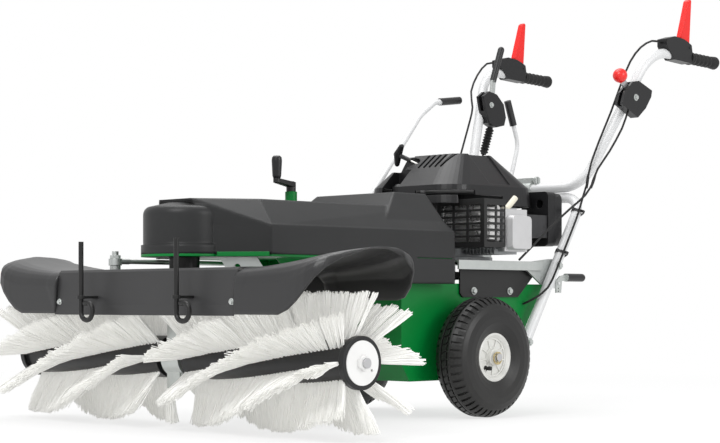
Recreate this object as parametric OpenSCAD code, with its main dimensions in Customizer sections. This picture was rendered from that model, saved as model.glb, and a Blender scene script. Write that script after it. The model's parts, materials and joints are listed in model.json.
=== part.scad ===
// Walk-behind power brush sweeper, in millimetres. The front faces -Y, the operator stands at +Y,
// +X is the machine's left side and the ground is z = 0. Places along Y are counted from the wheel axle
// and moved at the end, so that the origin lies under the middle of the whole machine.

/* [Wheels] */
// Outer diameter of the tyre
tyre_d = 310; // [296:1:324]
// Section width of the tyre
tyre_w = 100; // [88:1:104]
// Distance between the middle planes of the two tyres
track = 490; // [484:1:520]
// Diameter of the rim flange
rim_d = 125; // [110:1:140]
// Diameter of the wheel axle
axle_d = 20; // [16:1:24]

/* [Brush] */
// Distance from the wheel axle to the brush axis
brush_reach = 800; // [790:1:830]
// Height of the brush axis
brush_axis_z = 166; // [166:1:174]
// Radius at the bristle tips
brush_tip_r = 164; // [150:1:165]
// Distance from the middle of the machine to the outer end of the brush
brush_half = 590; // [540:1:600]
// Gap between the two halves of the brush
brush_gap = 92; // [84:1:110]
// Diameter of the core tube
core_d = 100; // [90:1:104]
// Diameter of the black end ring
ring_d = 117; // [112:1:126]
// Diameter of the brush shaft
brush_shaft_d = 22; // [16:1:26]
// Rows of tufts round the core
row_count = 8; // [6:1:9]
// Tufts in one row of one half
tuft_count = 24; // [18:1:26]
// How far the outermost tufts lean outward
end_lean = 80; // [50:1:85]

/* [Hood] */
// Distance from the middle to the seam between the sheet and the moulded end
hood_seam = 330; // [300:1:360]
// Distance from the middle to the outermost point of the hood
hood_half = 626; // [600:1:650]
// Height of the flat top of the hood
hood_top_z = 374; // [370:1:376]
// Rise of the flared end above the flat top
hood_flare = 42; // [20:1:50]
// Thickness of the hood
hood_t = 4; // [3:0.5:5]
// Diameter of the hook pins
hook_d = 12; // [10:1:14]
// Height of the tops of the hook pins
hook_top_z = 440; // [420:1:460]
// Distance of each hook from the middle
hook_x = 177; // [150:1:200]

/* [Belt cover and boom] */
// Half width of the belt cover
cover_half = 210; // [204:1:214]
// Radius of the round nose of the cover
nose_r = 98; // [96:1:104]
// Wall of the cover
cover_t = 4; // [3:0.5:5]
// Height of the side walls where the roof starts
eaves_z = 476; // [470:1:490]
// Height of the cover's flat top
roof_z = 540; // [530:1:550]
// Height of the raised part in front of the engine
hump_z = 576; // [560:1:585]
// Top of the boom plate, which carries the cover
plate_z = 409; // [407:1:412]
// Thickness of the boom plate
plate_t = 6; // [5:0.5:7]
// Half width of the boom channel
boom_half = 86; // [80:1:95]

/* [Chassis] */
// Half width of the sheet body between the wheels
body_half = 172; // [165:1:176]
// Thickness of the body sheet
body_t = 4; // [3:0.5:5]
// Height of the upper edge of the body
body_top_z = 345; // [340:1:350]
// Height of the lower edge of the body
body_low_z = 95; // [85:1:105]
// Top of the engine deck
deck_z = 406; // [400:1:408]
// Half width of the engine deck
deck_half = 200; // [194:1:204]
// Distance of the engine's crankshaft behind the axle
engine_y = 150; // [140:1:160]

/* [Handlebar] */
// Diameter of the frame tubes
tube_d = 28; // [25:0.5:29]
// Wall of the frame tubes
tube_wall = 2; // [1.5:0.5:3]
// Distance of the lower hoop's legs from the middle
hoop_x = 205; // [203:1:207]
// Height of the crossbar of the lower hoop, about which the handlebar tilts
hoop_top_z = 588; // [580:1:596]
// Distance of the hoop's crossbar behind the axle
hoop_top_y = 467; // [462:1:472]
// Rear end of the handles behind the axle
handle_end_y = 962; // [940:1:990]
// Diameter of the rubber grips
grip_d = 35; // [32:1:38]
// Length of the rubber grips
grip_len = 136; // [120:1:140]
// Height of the tips of the two clutch levers above their pivots
lever_len = 141; // [130:1:150]

/* [Height adjustment] */
// Distance of the height spindle ahead of the axle
spindle_ahead = 452; // [446:1:470]
// Diameter of the height spindle
spindle_d = 16; // [14:1:18]
// Diameter of the castor wheel
castor_d = 160; // [150:1:164]
// Reach of the hand crank
crank_reach = 60; // [50:1:80]

/* [Fits] */
// Radial clearance of a running fit
fit = 0.05; // [0.03:0.01:0.09]
// Gap between parts that move past each other
gap = 0.4; // [0.3:0.1:0.6]

/* [Hidden] */
$fn = 64;
hull_fn = 32;

axle_z = tyre_d / 2;
wheel_x = track / 2;
brush_y = -brush_reach;
tube_r = tube_d / 2;
hook_ahead = 172;
hook_y = brush_y - hook_ahead;
collar_r = hook_d / 2 + 4;
front_y = hook_y - collar_r;
y_shift = -(front_y + handle_end_y) / 2;
spindle_y = -spindle_ahead;
jack_y = -165;
deck_t = 6;
deck_rail_h = 24;
belt_w = 13;
belt_t = 9;
brush_belt_z = 446;
engine_belt_z = 362;
drive_pulley_r = 72;
jack_upper_r = 58;
jack_lower_r = 48;
engine_pulley_r = 34;
pulley_shaft_r = 12;
sleeve_r = 15;

// Puts a shape drawn from the axle into the frame of the whole machine
module machine() {
    translate([0, y_shift, 0]) children();
}

// Draws a shape on the left side and again, mirrored, on the right side
module both_sides() {
    children();
    mirror([1, 0, 0]) children();
}

// Turns a shape drawn along Z so that it lies along X
module along_x() {
    rotate([0, 90, 0]) children();
}

// Extrudes an outline given as [y, z] points from x0 to x1
module side_plate(points, x0, x1) {
    translate([x0, 0, 0]) rotate([90, 0, 90]) linear_extrude(x1 - x0) polygon(points);
}

function unit(v) = v / norm(v);
function lerp(a, b, t) = a + (b - a) * t;
function arc(c, r, a0, a1, n) = [for (i = [0 : n]) let (a = lerp(a0, a1, i / n)) c + r * [cos(a), sin(a)]];

// Cylinder of radius r from point a to point b
module rod(a, b, r) {
    d = b - a;
    translate(a) rotate([0, acos(d[2] / norm(d)), atan2(d[1], d[0])]) cylinder(h = norm(d), r = r);
}

// Round bar through the points p, with a bend of radius bend[i] at the inner point i
module bent_bar(p, bend, r) {
    last = len(p) - 1;
    dirs = [for (i = [0 : last - 1]) unit(p[i + 1] - p[i])];
    turn = [for (i = [0 : last]) i == 0 || i == last ? 0 : acos(dirs[i - 1] * dirs[i])];
    set = [for (i = [0 : last]) i == 0 || i == last ? 0 : bend[i - 1] * tan(turn[i] / 2)];
    for (i = [0 : last - 1]) {
        rod(p[i] + dirs[i] * set[i], p[i + 1] - dirs[i] * set[i + 1], r);
    }
    for (i = [1 : last - 1]) {
        bend_at(p[i] - dirs[i - 1] * set[i], dirs[i - 1], dirs[i], bend[i - 1], turn[i], r);
    }
}

// One bend of a round bar, from point a in direction d1 until it runs in direction d2. It reaches a
// little into both straight parts and is drawn slightly thinner by the bending, so that no two faces
// coincide.
module bend_at(a, d1, d2, bend, angle, r) {
    n = unit(d2 - d1 * (d1 * d2));
    z = cross(-n, d1);
    c = a + n * bend;
    reach = 0.6;
    thinning = 0.25;
    multmatrix([
        [-n[0], d1[0], z[0], c[0]],
        [-n[1], d1[1], z[1], c[1]],
        [-n[2], d1[2], z[2], c[2]],
        [0, 0, 0, 1]
    ]) rotate([0, 0, -reach]) rotate_extrude(angle = angle + 2 * reach) translate([bend, 0]) circle(r - thinning);
}

// Tube with the wall tube_wall, or a solid bar where the wall is as thick as the radius
module bent_tube(p, bend, r, wall) {
    difference() {
        bent_bar(p, bend, r);
        bent_bar(p, bend, r - wall);
    }
}

// Cord of radius r swept along the points p with 8 sides
module cord(p, r) {
    sides = 8;
    last = len(p) - 1;
    dirs = [for (i = [0 : last]) unit(p[min(i + 1, last)] - p[max(i - 1, 0)])];
    rings = [for (i = [0 : last])
        let (u = unit(cross(dirs[i], [1, 0.3, 0])), w = cross(dirs[i], u))
        for (k = [0 : sides - 1]) p[i] + r * (u * cos(360 * k / sides) + w * sin(360 * k / sides))];
    walls = [for (i = [0 : last - 1]) for (k = [0 : sides - 1])
        let (a = i * sides + k, b = i * sides + (k + 1) % sides)
        each [[a, a + sides, b + sides], [a, b + sides, b]]];
    caps = [[for (k = [0 : sides - 1]) k], [for (k = [sides - 1 : -1 : 0]) last * sides + k]];
    polyhedron(rings, concat(walls, caps), convexity = 8);
}

// Smooth points between the chosen points of a cord's route
function spline(p, steps) = concat(
    [for (i = [0 : len(p) - 2]) for (k = [0 : steps - 1])
        let (t = k / steps, a = p[max(i - 1, 0)], b = p[i], c = p[i + 1], d = p[min(i + 2, len(p) - 1)])
        0.5 * (2 * b + (c - a) * t + (2 * a - 5 * b + 4 * c - d) * t * t + (3 * b - a - 3 * c + d) * t * t * t)],
    [p[len(p) - 1]]);

// Wheels

tyre_bead_r = rim_d / 2;
tyre_crown = tyre_w * 0.15;
tyre_side_r = tyre_d / 2 - 50;
tyre_wall = 8;
tread_depth = 5;
tread_slots = 48;
rim_flange_x = tyre_w / 2 - 12;
rim_barrel_r = tyre_bead_r - 8;
rim_web_t = 8;
rim_pockets = 9;
hub_r = 22;
axle_end_x = wheel_x + tyre_w / 2 + 4;

// Half outline of the tyre as [radius, x], from the bead to the crown
function tyre_half(grow) = [
    [tyre_bead_r + 0.2, rim_flange_x - grow],
    [tyre_bead_r + 12, tyre_w / 2 - 6 - grow],
    [tyre_bead_r + 26, tyre_w / 2 - 1 - grow],
    [tyre_side_r, tyre_w / 2 - grow],
    [tyre_side_r + 16, tyre_w / 2 - 1.5 - grow],
    [tyre_d / 2 - 22 - grow / 2, tyre_w / 2 - 6 - grow],
    [tyre_d / 2 - 13 - grow, tyre_w / 2 - 12 - grow],
    [tyre_d / 2 - 6 - grow, tyre_w / 2 - 20 - grow],
    [tyre_d / 2 - 2 - grow, tyre_w / 2 - 29 - grow],
    [tyre_d / 2 - grow, tyre_crown - grow]
];

function mirrored(p) = [for (i = [len(p) - 1 : -1 : 0]) [p[i][0], -p[i][1]]];

module tyre() {
    outer = concat(tyre_half(0), mirrored(tyre_half(0)));
    inner = concat(tyre_half(tyre_wall), mirrored(tyre_half(tyre_wall)));
    slot = 360 / tread_slots;
    difference() {
        along_x() rotate_extrude($fn = 96) polygon(outer);
        along_x() rotate_extrude($fn = 96) polygon(inner);
        for (x = [-tyre_crown * 0.6, tyre_crown * 0.6]) {
            translate([x - 2, 0, 0]) along_x() difference() {
                cylinder(h = 4, r = tyre_d / 2 + 5);
                cylinder(h = 4, r = tyre_d / 2 - tread_depth);
            }
        }
        for (side = [0, 1]) for (k = [0 : tread_slots - 1]) {
            rotate([slot * (k + side / 2), 0, 0])
                mirror([side, 0, 0])
                    translate([tyre_w * 0.17, -3.5, tyre_d / 2 - tread_depth])
                        rotate([0, 30, 0]) cube([tyre_w, 7, 40]);
        }
        for (k = [0 : tread_slots - 1]) {
            rotate([slot * (k + 0.25), 0, 0]) translate([0, 0, tyre_d / 2 - tread_depth + 1])
                rotate([0, 0, 24]) translate([-tyre_crown * 0.6, -2.5, 0]) cube([tyre_crown * 1.2, 5, 12]);
        }
    }
}

module rim() {
    flange = [
        [rim_barrel_r - 4, 0],
        [rim_barrel_r, 0],
        [rim_barrel_r, rim_flange_x - 10],
        [tyre_bead_r, rim_flange_x - 6],
        [tyre_bead_r, rim_flange_x],
        [tyre_bead_r - 5, rim_flange_x + 2],
        [rim_barrel_r - 4, rim_flange_x - 6]
    ];
    web_x = rim_flange_x - 16;
    difference() {
        union() {
            both_sides() along_x() rotate_extrude() polygon(flange);
            translate([web_x, 0, 0]) along_x() cylinder(h = rim_web_t, r = rim_barrel_r - 2);
            translate([-rim_flange_x, 0, 0]) along_x() cylinder(h = 2 * rim_flange_x + 2, r = hub_r);
        }
        along_x() cylinder(h = 300, r = axle_d / 2 + fit, center = true);
        for (k = [0 : rim_pockets - 1]) {
            rotate([360 / rim_pockets * k, 0, 0])
                translate([web_x + rim_web_t - 3, 0, 0])
                    rim_pocket(360 / rim_pockets);
        }
    }
}

// Shallow pocket between two ribs of the wheel disc
module rim_pocket(pitch) {
    half = pitch / 2;
    r0 = hub_r + 4;
    r1 = rim_barrel_r - 8;
    rib = 2;
    side_plate([
        [r0 * sin(-half) + rib, r0 * cos(half)],
        [r0 * sin(half) - rib, r0 * cos(half)],
        [r1 * sin(half) - rib, r1 * cos(half)],
        [0, r1],
        [r1 * sin(-half) + rib, r1 * cos(half)]
    ], 0, 10);
}

pin_x = axle_end_x - 7;
pin_r = 3;
pin_ring_r = 15;

// Half axle with the linch pin that keeps the wheel on
module axle() {
    difference() {
        translate([40, 0, 0]) along_x() cylinder(h = axle_end_x - 40, r = axle_d / 2);
        translate([pin_x, 0, -30]) cylinder(h = 60, r = pin_r + fit);
    }
    translate([pin_x, 0, -axle_d / 2 - 8]) cylinder(h = axle_d + 12, r = pin_r);
    translate([pin_x, 0, -2]) along_x() difference() {
        translate([0, 0, -pin_r / 2]) cylinder(h = pin_r, r = pin_ring_r + 1.6);
        translate([0, 0, -pin_r]) cylinder(h = 2 * pin_r, r = pin_ring_r - 1.6);
    }
}

module wheel_place(side) {
    machine() mirror([side, 0, 0]) translate([wheel_x, 0, axle_z]) children();
}

module axle_place(side) {
    machine() mirror([side, 0, 0]) translate([0, 0, axle_z]) children();
}

module tyre_left() { color([0.11, 0.11, 0.11]) wheel_place(0) tyre(); }
module tyre_right() { color([0.11, 0.11, 0.11]) wheel_place(1) tyre(); }
module rim_left() { color([0.85, 0.85, 0.83]) wheel_place(0) rim(); }
module rim_right() { color([0.85, 0.85, 0.83]) wheel_place(1) rim(); }
module axle_left() { color([0.7, 0.6, 0.35]) axle_place(0) axle(); }
module axle_right() { color([0.7, 0.6, 0.35]) axle_place(1) axle(); }

// Chassis

body_front_y = -232;
body_rear_y = 333;
axle_tube_r = axle_d / 2 + 14;

// Side outline of the sheet body, drawn in by t at the front, floor and rear
function body_outline(t, top) = [
    [body_front_y + t, top],
    [body_front_y + t, body_low_z + 45],
    [body_front_y + 30 + t * 0.6, body_low_z + t],
    [180 - t * 0.6, body_low_z + t],
    [body_rear_y - 100 - t, 190],
    [body_rear_y - t * 1.2 + (top - body_top_z) * 0.65, top]
];

module chassis_body() {
    color([0, 0.5, 0.18]) machine() difference() {
        side_plate(body_outline(0, body_top_z), -body_half, body_half);
        side_plate(body_outline(body_t, body_top_z + 10), -body_half + body_t, body_half - body_t);
        translate([0, 0, axle_z]) along_x() cylinder(h = 500, r = axle_tube_r, center = true);
    }
}

case_half = 62;
case_front_y = -210;
case_rear_y = 62;

// Gear case between the wheels, with the axle tubes and the bearing of the upright input shaft
module gear_case() {
    floor_z = body_low_z + body_t;
    color([0.62, 0.63, 0.64]) machine() difference() {
        union() {
            side_plate([
                [case_front_y, floor_z + 60],
                [case_front_y + 30, floor_z],
                [case_rear_y - 30, floor_z],
                [case_rear_y, floor_z + 30],
                [case_rear_y, axle_z + 60],
                [case_rear_y - 50, axle_z + 80],
                [jack_y + 60, 300],
                [case_front_y, 300]
            ], -case_half, case_half);
            translate([0, 0, axle_z]) along_x()
                cylinder(h = 2 * body_half + 8, r = axle_tube_r, center = true);
            translate([0, jack_y, 300]) cylinder(h = 30, r = 34);
            for (y = [case_front_y + 50, -70, 10]) {
                translate([-case_half - 6, y, floor_z]) cube([2 * case_half + 12, 8, 150]);
            }
        }
        translate([0, 0, axle_z]) along_x() cylinder(h = 600, r = axle_d / 2 + fit, center = true);
        translate([0, jack_y, 250]) cylinder(h = 100, r = 10 + fit);
    }
}

flare_y = brush_y + 89;
cover_rear_y = -72;
neck_half = nose_r - 3;
flare_angle = atan2(flare_y - brush_y, cover_half - neck_half);

// Plan of the cover behind its nose, drawn in by t
function cover_plan(t) = [
    [-neck_half + t, brush_y],
    [neck_half - t, brush_y],
    [cover_half - t, flare_y + t * 0.4],
    [cover_half - t, cover_rear_y - t],
    [-cover_half + t, cover_rear_y - t],
    [-cover_half + t, flare_y + t * 0.4]
];

hub_neck_r = 28;
guide_r = 25;
strut_r = 18;
boom_front_y = -580;
boom_low_z = body_top_z;
flange_h = 11;
flange_start = 16;
flange_len = norm([cover_half - neck_half, flare_y - brush_y]) - flange_start - 6;

// Boom: plate under the belt cover, channel down to the body and guide tube of the support strut
module boom_frame() {
    low = plate_z - plate_t;
    color([0, 0.5, 0.18]) machine() difference() {
        union() {
            translate([0, 0, low]) linear_extrude(plate_t) {
                polygon(cover_plan(cover_t + gap));
                translate([0, brush_y]) circle(nose_r + 5);
            }
            both_sides() {
                translate([neck_half, brush_y, low]) rotate([0, 0, flare_angle]) {
                    translate([flange_start, -4 - gap, 0]) cube([flange_len, 4, flange_h]);
                    for (x = [flange_start, flange_start + flange_len - 12]) {
                        translate([x, -4 - gap, 0]) cube([12, 13, plate_t]);
                    }
                }
                side_plate([
                    [boom_front_y, low],
                    [boom_front_y + 55, boom_low_z],
                    [-80, boom_low_z],
                    [-80, low]
                ], boom_half - 4, boom_half);
            }
            translate([0, spindle_y, 250]) cylinder(h = low - 250, r = guide_r);
            translate([-boom_half, spindle_y - 3, boom_low_z + 8])
                cube([2 * boom_half, 6, low - boom_low_z - 8]);
        }
        translate([0, brush_y, low - 1]) cylinder(h = plate_t + 2, r = hub_neck_r + fit);
        translate([0, spindle_y, 240]) cylinder(h = low - 240, r = strut_r + fit);
        translate([0, spindle_y, low - 1]) cylinder(h = plate_t + 2, r = spindle_d / 2 + 1);
        translate([0, jack_y, low - 1]) cylinder(h = plate_t + 2, r = 36);
    }
}

lock_z = hood_top_z + 5;

// Zinc plated plate behind the left flared edge, with a notch for the head's swivel stop
module lock_plate() {
    len = 104;
    h = plate_z - plate_t - lock_z;
    color([0.72, 0.75, 0.75]) machine()
        translate([neck_half, brush_y, lock_z])
            rotate([0, 0, flare_angle])
                translate([18, 12, 0]) difference() {
                    rotate([90, 0, 0]) linear_extrude(4, center = true) polygon([
                        [14, 0], [len, 0], [len - 14, h], [0, h]
                    ]);
                    translate([len * 0.42, -5, 0]) rotate([-90, 0, 0]) cylinder(h = 10, r = 7);
                }
}

hump_front_y = -330;

// Roof of the cover between the eaves and the top, drawn in by t
module cover_roof(t) {
    hull($fn = hull_fn) {
        translate([0, 0, eaves_z - 1]) linear_extrude(1) polygon(cover_plan(t));
        translate([0, 0, roof_z - 1 - t]) linear_extrude(1) polygon([
            [-58 + t, brush_y - 30 + t],
            [58 - t, brush_y - 30 + t],
            [cover_half - 66 - t, flare_y + 20],
            [cover_half - 56 - t, cover_rear_y - 40 - t],
            [-cover_half + 56 + t, cover_rear_y - 40 - t],
            [-cover_half + 66 + t, flare_y + 20]
        ]);
    }
}

// Raised part of the cover in front of the engine, drawn in by t
module cover_hump(t) {
    low = eaves_z + 3;
    hull($fn = hull_fn) {
        translate([-cover_half + 9 + t, hump_front_y + t, low])
            cube([2 * (cover_half - 9 - t), cover_rear_y - 8 - hump_front_y - 2 * t, 1]);
        translate([-cover_half + 70 + t, hump_front_y + 105 + t, hump_z - 1 - t])
            cube([2 * (cover_half - 70 - t), cover_rear_y - 36 - hump_front_y - 105 - 2 * t, 1]);
    }
}

// Round nose over the front pulley, drawn in by t
module cover_nose(t, low) {
    nose_round = 22;
    rim_z = roof_z - 16;
    rotate_extrude() polygon(concat(
        [[0, low], [nose_r - t, low]],
        arc([nose_r - nose_round, rim_z - nose_round], nose_round - t, 0, 60, 6),
        [[nose_r * 0.4, rim_z + 8 - t], [0, rim_z + 8 - t]]
    ));
}

// Moulded cover over the belt drive
module belt_cover() {
    skirt_front_y = -420;
    color([0.2, 0.2, 0.2]) machine() difference() {
        union() {
            translate([0, 0, plate_z]) linear_extrude(eaves_z - plate_z) polygon(cover_plan(0));
            cover_roof(0);
            cover_hump(0);
            translate([0, brush_y, 0]) cover_nose(0, plate_z);
            translate([0, brush_y, plate_z]) cylinder(h = 22, r = nose_r + 5);
            translate([cover_half - cover_t, skirt_front_y, body_top_z - 2])
                cube([cover_t, cover_rear_y - skirt_front_y, plate_z - body_top_z + 4]);
        }
        translate([0, 0, plate_z - 1]) linear_extrude(eaves_z - plate_z + 1) polygon(cover_plan(cover_t));
        cover_roof(cover_t);
        cover_hump(cover_t);
        translate([0, brush_y, 0]) cover_nose(cover_t, plate_z - 1);
        translate([0, spindle_y, roof_z - 20]) cylinder(h = 40, r = sleeve_r + 0.5);
        translate([-cover_half + cover_t, flare_y, plate_z - plate_t - 1])
            cube([2 * (cover_half - cover_t), cover_rear_y - flare_y - 8, plate_t + 1]);
        translate([cover_half - cover_t - 1, -214, plate_z - 2]) cube([cover_t + 2, 144, 2]);
    }
}

deck_front_y = -45;
deck_rear_y = 300;
bracket_y = 346;
bracket_z = 401;
bracket_t = 5.9;
swivel_x = -deck_half - 32;
plate_low_z = 310;
plate_front_y = -14;
plate_rear_y = 289;
plate_side_t = 5;
flange_in = 24;
flange_t = 4;

// Engine deck: plate with turned-down rails that run back to the lower hoop
module engine_deck() {
    bracket_x = hoop_x - tube_r - gap / 4;
    color([0.78, 0.8, 0.8]) machine() difference() {
        union() {
            translate([-deck_half, deck_front_y, deck_z - deck_t])
                cube([2 * deck_half, deck_rear_y - deck_front_y, deck_t]);
            both_sides() {
                translate([deck_half - 5, deck_front_y, deck_z - deck_rail_h])
                    cube([5, deck_rear_y - deck_front_y, deck_rail_h]);
                side_plate([
                    [deck_rear_y - 60, deck_z - 2],
                    [deck_rear_y - 60, deck_z - deck_rail_h + 2],
                    [deck_rear_y + 4, deck_z - 62],
                    [bracket_y - 4, deck_z - 62],
                    [bracket_y + 26, deck_z - 20],
                    [bracket_y + 26, deck_z + 8],
                    [bracket_y - 10, deck_z + 8]
                ], min(deck_half - 15, bracket_x - bracket_t), bracket_x);
            }
            side_plate([
                [swivel_pivot[1] - 34, deck_z - deck_rail_h], [swivel_pivot[1] + 40, deck_z - deck_rail_h],
                [swivel_pivot[1] + 40, deck_z + 20], [swivel_pivot[1] + 18, swivel_pivot[2] + 18],
                [swivel_pivot[1] - 18, swivel_pivot[2] + 18], [swivel_pivot[1] - 34, deck_z + 20]
            ], -deck_half - 6, -deck_half + 1);
            translate([swivel_pivot[0] - 14, swivel_pivot[1], swivel_pivot[2]])
                along_x() cylinder(h = -deck_half - swivel_pivot[0] + 12, r = 7);
            for (x = [gear_pivot[0] - 16, gear_pivot[0] + 11]) {
                translate([x, deck_rear_y - 12, deck_z - deck_t]) cube([5, gear_pivot[1] - deck_rear_y + 24, 36]);
            }
            translate(gear_pivot) along_x() cylinder(h = 32, r = 5, center = true);
        }
        translate([0, engine_y, deck_z - 20]) cylinder(h = 40, r = 46);
        both_sides() side_plate_room();
    }
}

// Room that the deck leaves for a side plate and its flange
module side_plate_room() {
    deck_low = deck_z - deck_t;
    depth = plate_rear_y - plate_front_y + 2 * gap;
    translate([body_half - flange_in - gap, plate_front_y - gap, deck_low - flange_t - gap])
        cube([flange_in + plate_side_t + 2 * gap, depth, flange_t + gap]);
    translate([body_half - gap, plate_front_y - gap, plate_low_z])
        cube([plate_side_t + 2 * gap, depth, deck_low - plate_low_z]);
}

// Bent plates that hang the engine deck on the body
module deck_side_plates() {
    color([0.13, 0.13, 0.13]) machine() both_sides() {
        difference() {
            union() {
                side_plate([
                    [plate_front_y, plate_low_z + 10], [plate_front_y + 10, plate_low_z],
                    [plate_rear_y - 68, plate_low_z], [plate_rear_y, plate_low_z + 60],
                    [plate_rear_y, deck_z - deck_t], [plate_front_y, deck_z - deck_t]
                ], body_half, body_half + plate_side_t);
                translate([body_half - flange_in, plate_front_y, deck_z - deck_t - flange_t])
                    cube([flange_in + 4, plate_rear_y - plate_front_y, flange_t]);
            }
            for (y = [40, 186]) {
                translate([body_half - 1, y, 326]) along_x() cylinder(h = 8, r = 5);
            }
        }
    }
}

hoop_low = [hoop_x, 196, 155];
hoop_corner = [hoop_x, hoop_top_y, hoop_top_z];
hoop_bend = 60;
boss_z = 190;
boss_y = lerp(hoop_low[1], hoop_top_y, (boss_z - hoop_low[2]) / (hoop_top_z - hoop_low[2]));

// Lower hoop, bolted to the body near its ends
module hoop_frame() {
    left = [hoop_low, hoop_corner, [-hoop_x, hoop_top_y, hoop_top_z], [-hoop_x, hoop_low[1], hoop_low[2]]];
    color([0.82, 0.83, 0.84]) machine() {
        difference() {
            union() {
                bent_bar(left, [hoop_bend, hoop_bend], tube_r);
                both_sides() translate([body_half, boss_y, boss_z]) along_x()
                    cylinder(h = hoop_x - body_half, r = 11);
                side_plate([
                    [release_y - 34, release_z - 14],
                    [release_y + 14, release_z - 14],
                    [release_y + 14, release_z + 12],
                    [release_y - 24, release_z + 12]
                ], hoop_x - 3, hoop_x + 3);
            }
            bent_bar(left, [hoop_bend, hoop_bend], tube_r - tube_wall);
        }
        translate([hoop_x - 3, release_y, release_z]) along_x() cylinder(h = 14, r = 4);
    }
}

release_y = 350;
release_z = 348;

// Engine

// Crankcase, cylinder with its fins and the carburettor body
module engine_block() {
    cyl_z = 486;
    fin_pitch = 12;
    color([0.66, 0.67, 0.68]) machine() difference() {
        union() {
            translate([0, engine_y, deck_z]) cylinder(h = 12, r = 112);
            translate([0, engine_y, deck_z]) cylinder(h = 70, r = 86);
            translate([0, engine_y, deck_z + 70]) cylinder(h = 72, r = 86);
            translate([0, engine_y - 42, cyl_z - 50]) cube([206, 84, 100]);
            for (k = [0 : 8]) {
                translate([92 + k * fin_pitch, engine_y - 46, cyl_z - 62]) cube([5, 92, 124]);
            }
            translate([206, engine_y - 46, cyl_z - 56]) cube([16, 92, 112]);
            translate([128, engine_y + 42, cyl_z + 4]) cube([42, 70, 46]);
            translate([112, engine_y + 108, cyl_z - 14]) cube([66, 86, 62]);
            translate([150, engine_y + 120, cyl_z - 44]) cylinder(h = 40, r = 20);
        }
        translate([0, engine_y, deck_z - 1]) cylinder(h = 60, r = pulley_shaft_r + fit);
    }
}

cowl_half_x = 165;
cowl_front_y = -32;
cowl_rear_y = 334;
cowl_low_z = 556;
cowl_top_z = 694;

// Rounded block used to build the cowl
module cowl_slab(inset_x, y0, y1, z, corner) {
    for (x = [-1, 1]) for (y = [y0 + corner, y1 - corner]) {
        translate([x * (cowl_half_x - inset_x - corner), y, z]) cylinder(h = 2, r = corner, $fn = hull_fn);
    }
}

cap_x = -62;
cap_y = 14;
cap_floor_z = 584;
neck_r = 13;
rope_exit = [-44, 50, 676];
pull_dir = unit([-52, -12, 24]);

// Outer form of the cowl, drawn in by t
module cowl_form(t) {
    shoulder_z = cowl_low_z + 48;
    hull() {
        cowl_slab(t, cowl_front_y + t, cowl_rear_y - t, cowl_low_z, 70);
        cowl_slab(4 + t, cowl_front_y + 6 + t, cowl_rear_y - 4 - t, shoulder_z, 70);
    }
    hull() {
        cowl_slab(4 + t, cowl_front_y + 6 + t, cowl_rear_y - 4 - t, shoulder_z, 70);
        cowl_slab(62 + t, cowl_front_y + 96 + t, cowl_rear_y - 110 - t, cowl_top_z - 2 - t, 44);
    }
}

panel_depth = 2.5;

// Moulded cowl over the flywheel, with the fuel filler recess, the starter well, vents and a bare panel
module engine_cowl() {
    color([0.1, 0.1, 0.1]) machine() {
        difference() {
            cowl_form(0);
            hull() {
                cowl_slab(5, cowl_front_y + 5, cowl_rear_y - 5, cowl_low_z - 2, 66);
                cowl_slab(9, cowl_front_y + 11, cowl_rear_y - 9, cowl_low_z + 46, 66);
            }
            difference() {
                side_plate([
                    [engine_y - 22, cowl_low_z + 56], [engine_y + 62, cowl_low_z + 56],
                    [engine_y + 34, cowl_top_z + 9], [engine_y - 50, cowl_top_z + 9]
                ], cowl_half_x - 105, cowl_half_x + 10);
                cowl_form(panel_depth);
            }
            for (k = [0 : 4]) {
                translate([-14 + k * 20, cowl_front_y + 60, cowl_top_z - 46]) rotate([0, 0, -18])
                    cube([9, 52, 60]);
            }
            for (k = [0 : 3]) {
                translate([-cowl_half_x - 10, engine_y - 40 + k * 30, cowl_low_z + 12]) cube([30, 16, 26]);
            }
            translate([cap_x - 30, cowl_front_y - 5, cap_floor_z]) cube([60, cap_y - cowl_front_y + 32, 70]);
            rod(rope_exit - pull_dir * 40, rope_exit + pull_dir * 60, 13);
            translate([cowl_half_x - 100, cowl_front_y + 36, cowl_low_z - 2]) cube([120, 170, 26]);
            translate([30, cowl_front_y - 5, cowl_low_z + 22]) cube([150, 100, 14]);
            translate([-140, 12, 650]) cube([86, 76, 60]);
        }
        translate([cap_x - 36, cowl_front_y + 2, cap_floor_z - 8]) cube([72, cap_y - cowl_front_y + 36, 8]);
        translate([cap_x, cap_y, cap_floor_z - 4]) cylinder(h = 22, r = neck_r);
    }
}

// Fuel cap on its neck
module fuel_cap() {
    color([0.08, 0.08, 0.08]) machine() translate([cap_x, cap_y, cap_floor_z + gap]) difference() {
        union() {
            cylinder(h = 24, r = 19);
            translate([0, 0, 24]) cylinder(h = 7, r1 = 19, r2 = 13);
            for (k = [0 : 5]) rotate([0, 0, 60 * k]) translate([17, -5, 4]) cube([5, 10, 20]);
        }
        translate([0, 0, -1]) cylinder(h = 20, r = neck_r + fit);
    }
}

guard_x0 = 72;
guard_x1 = 236;
guard_y0 = 13;
guard_y1 = 98;
guard_z0 = 440;
guard_z1 = 566;

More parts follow.
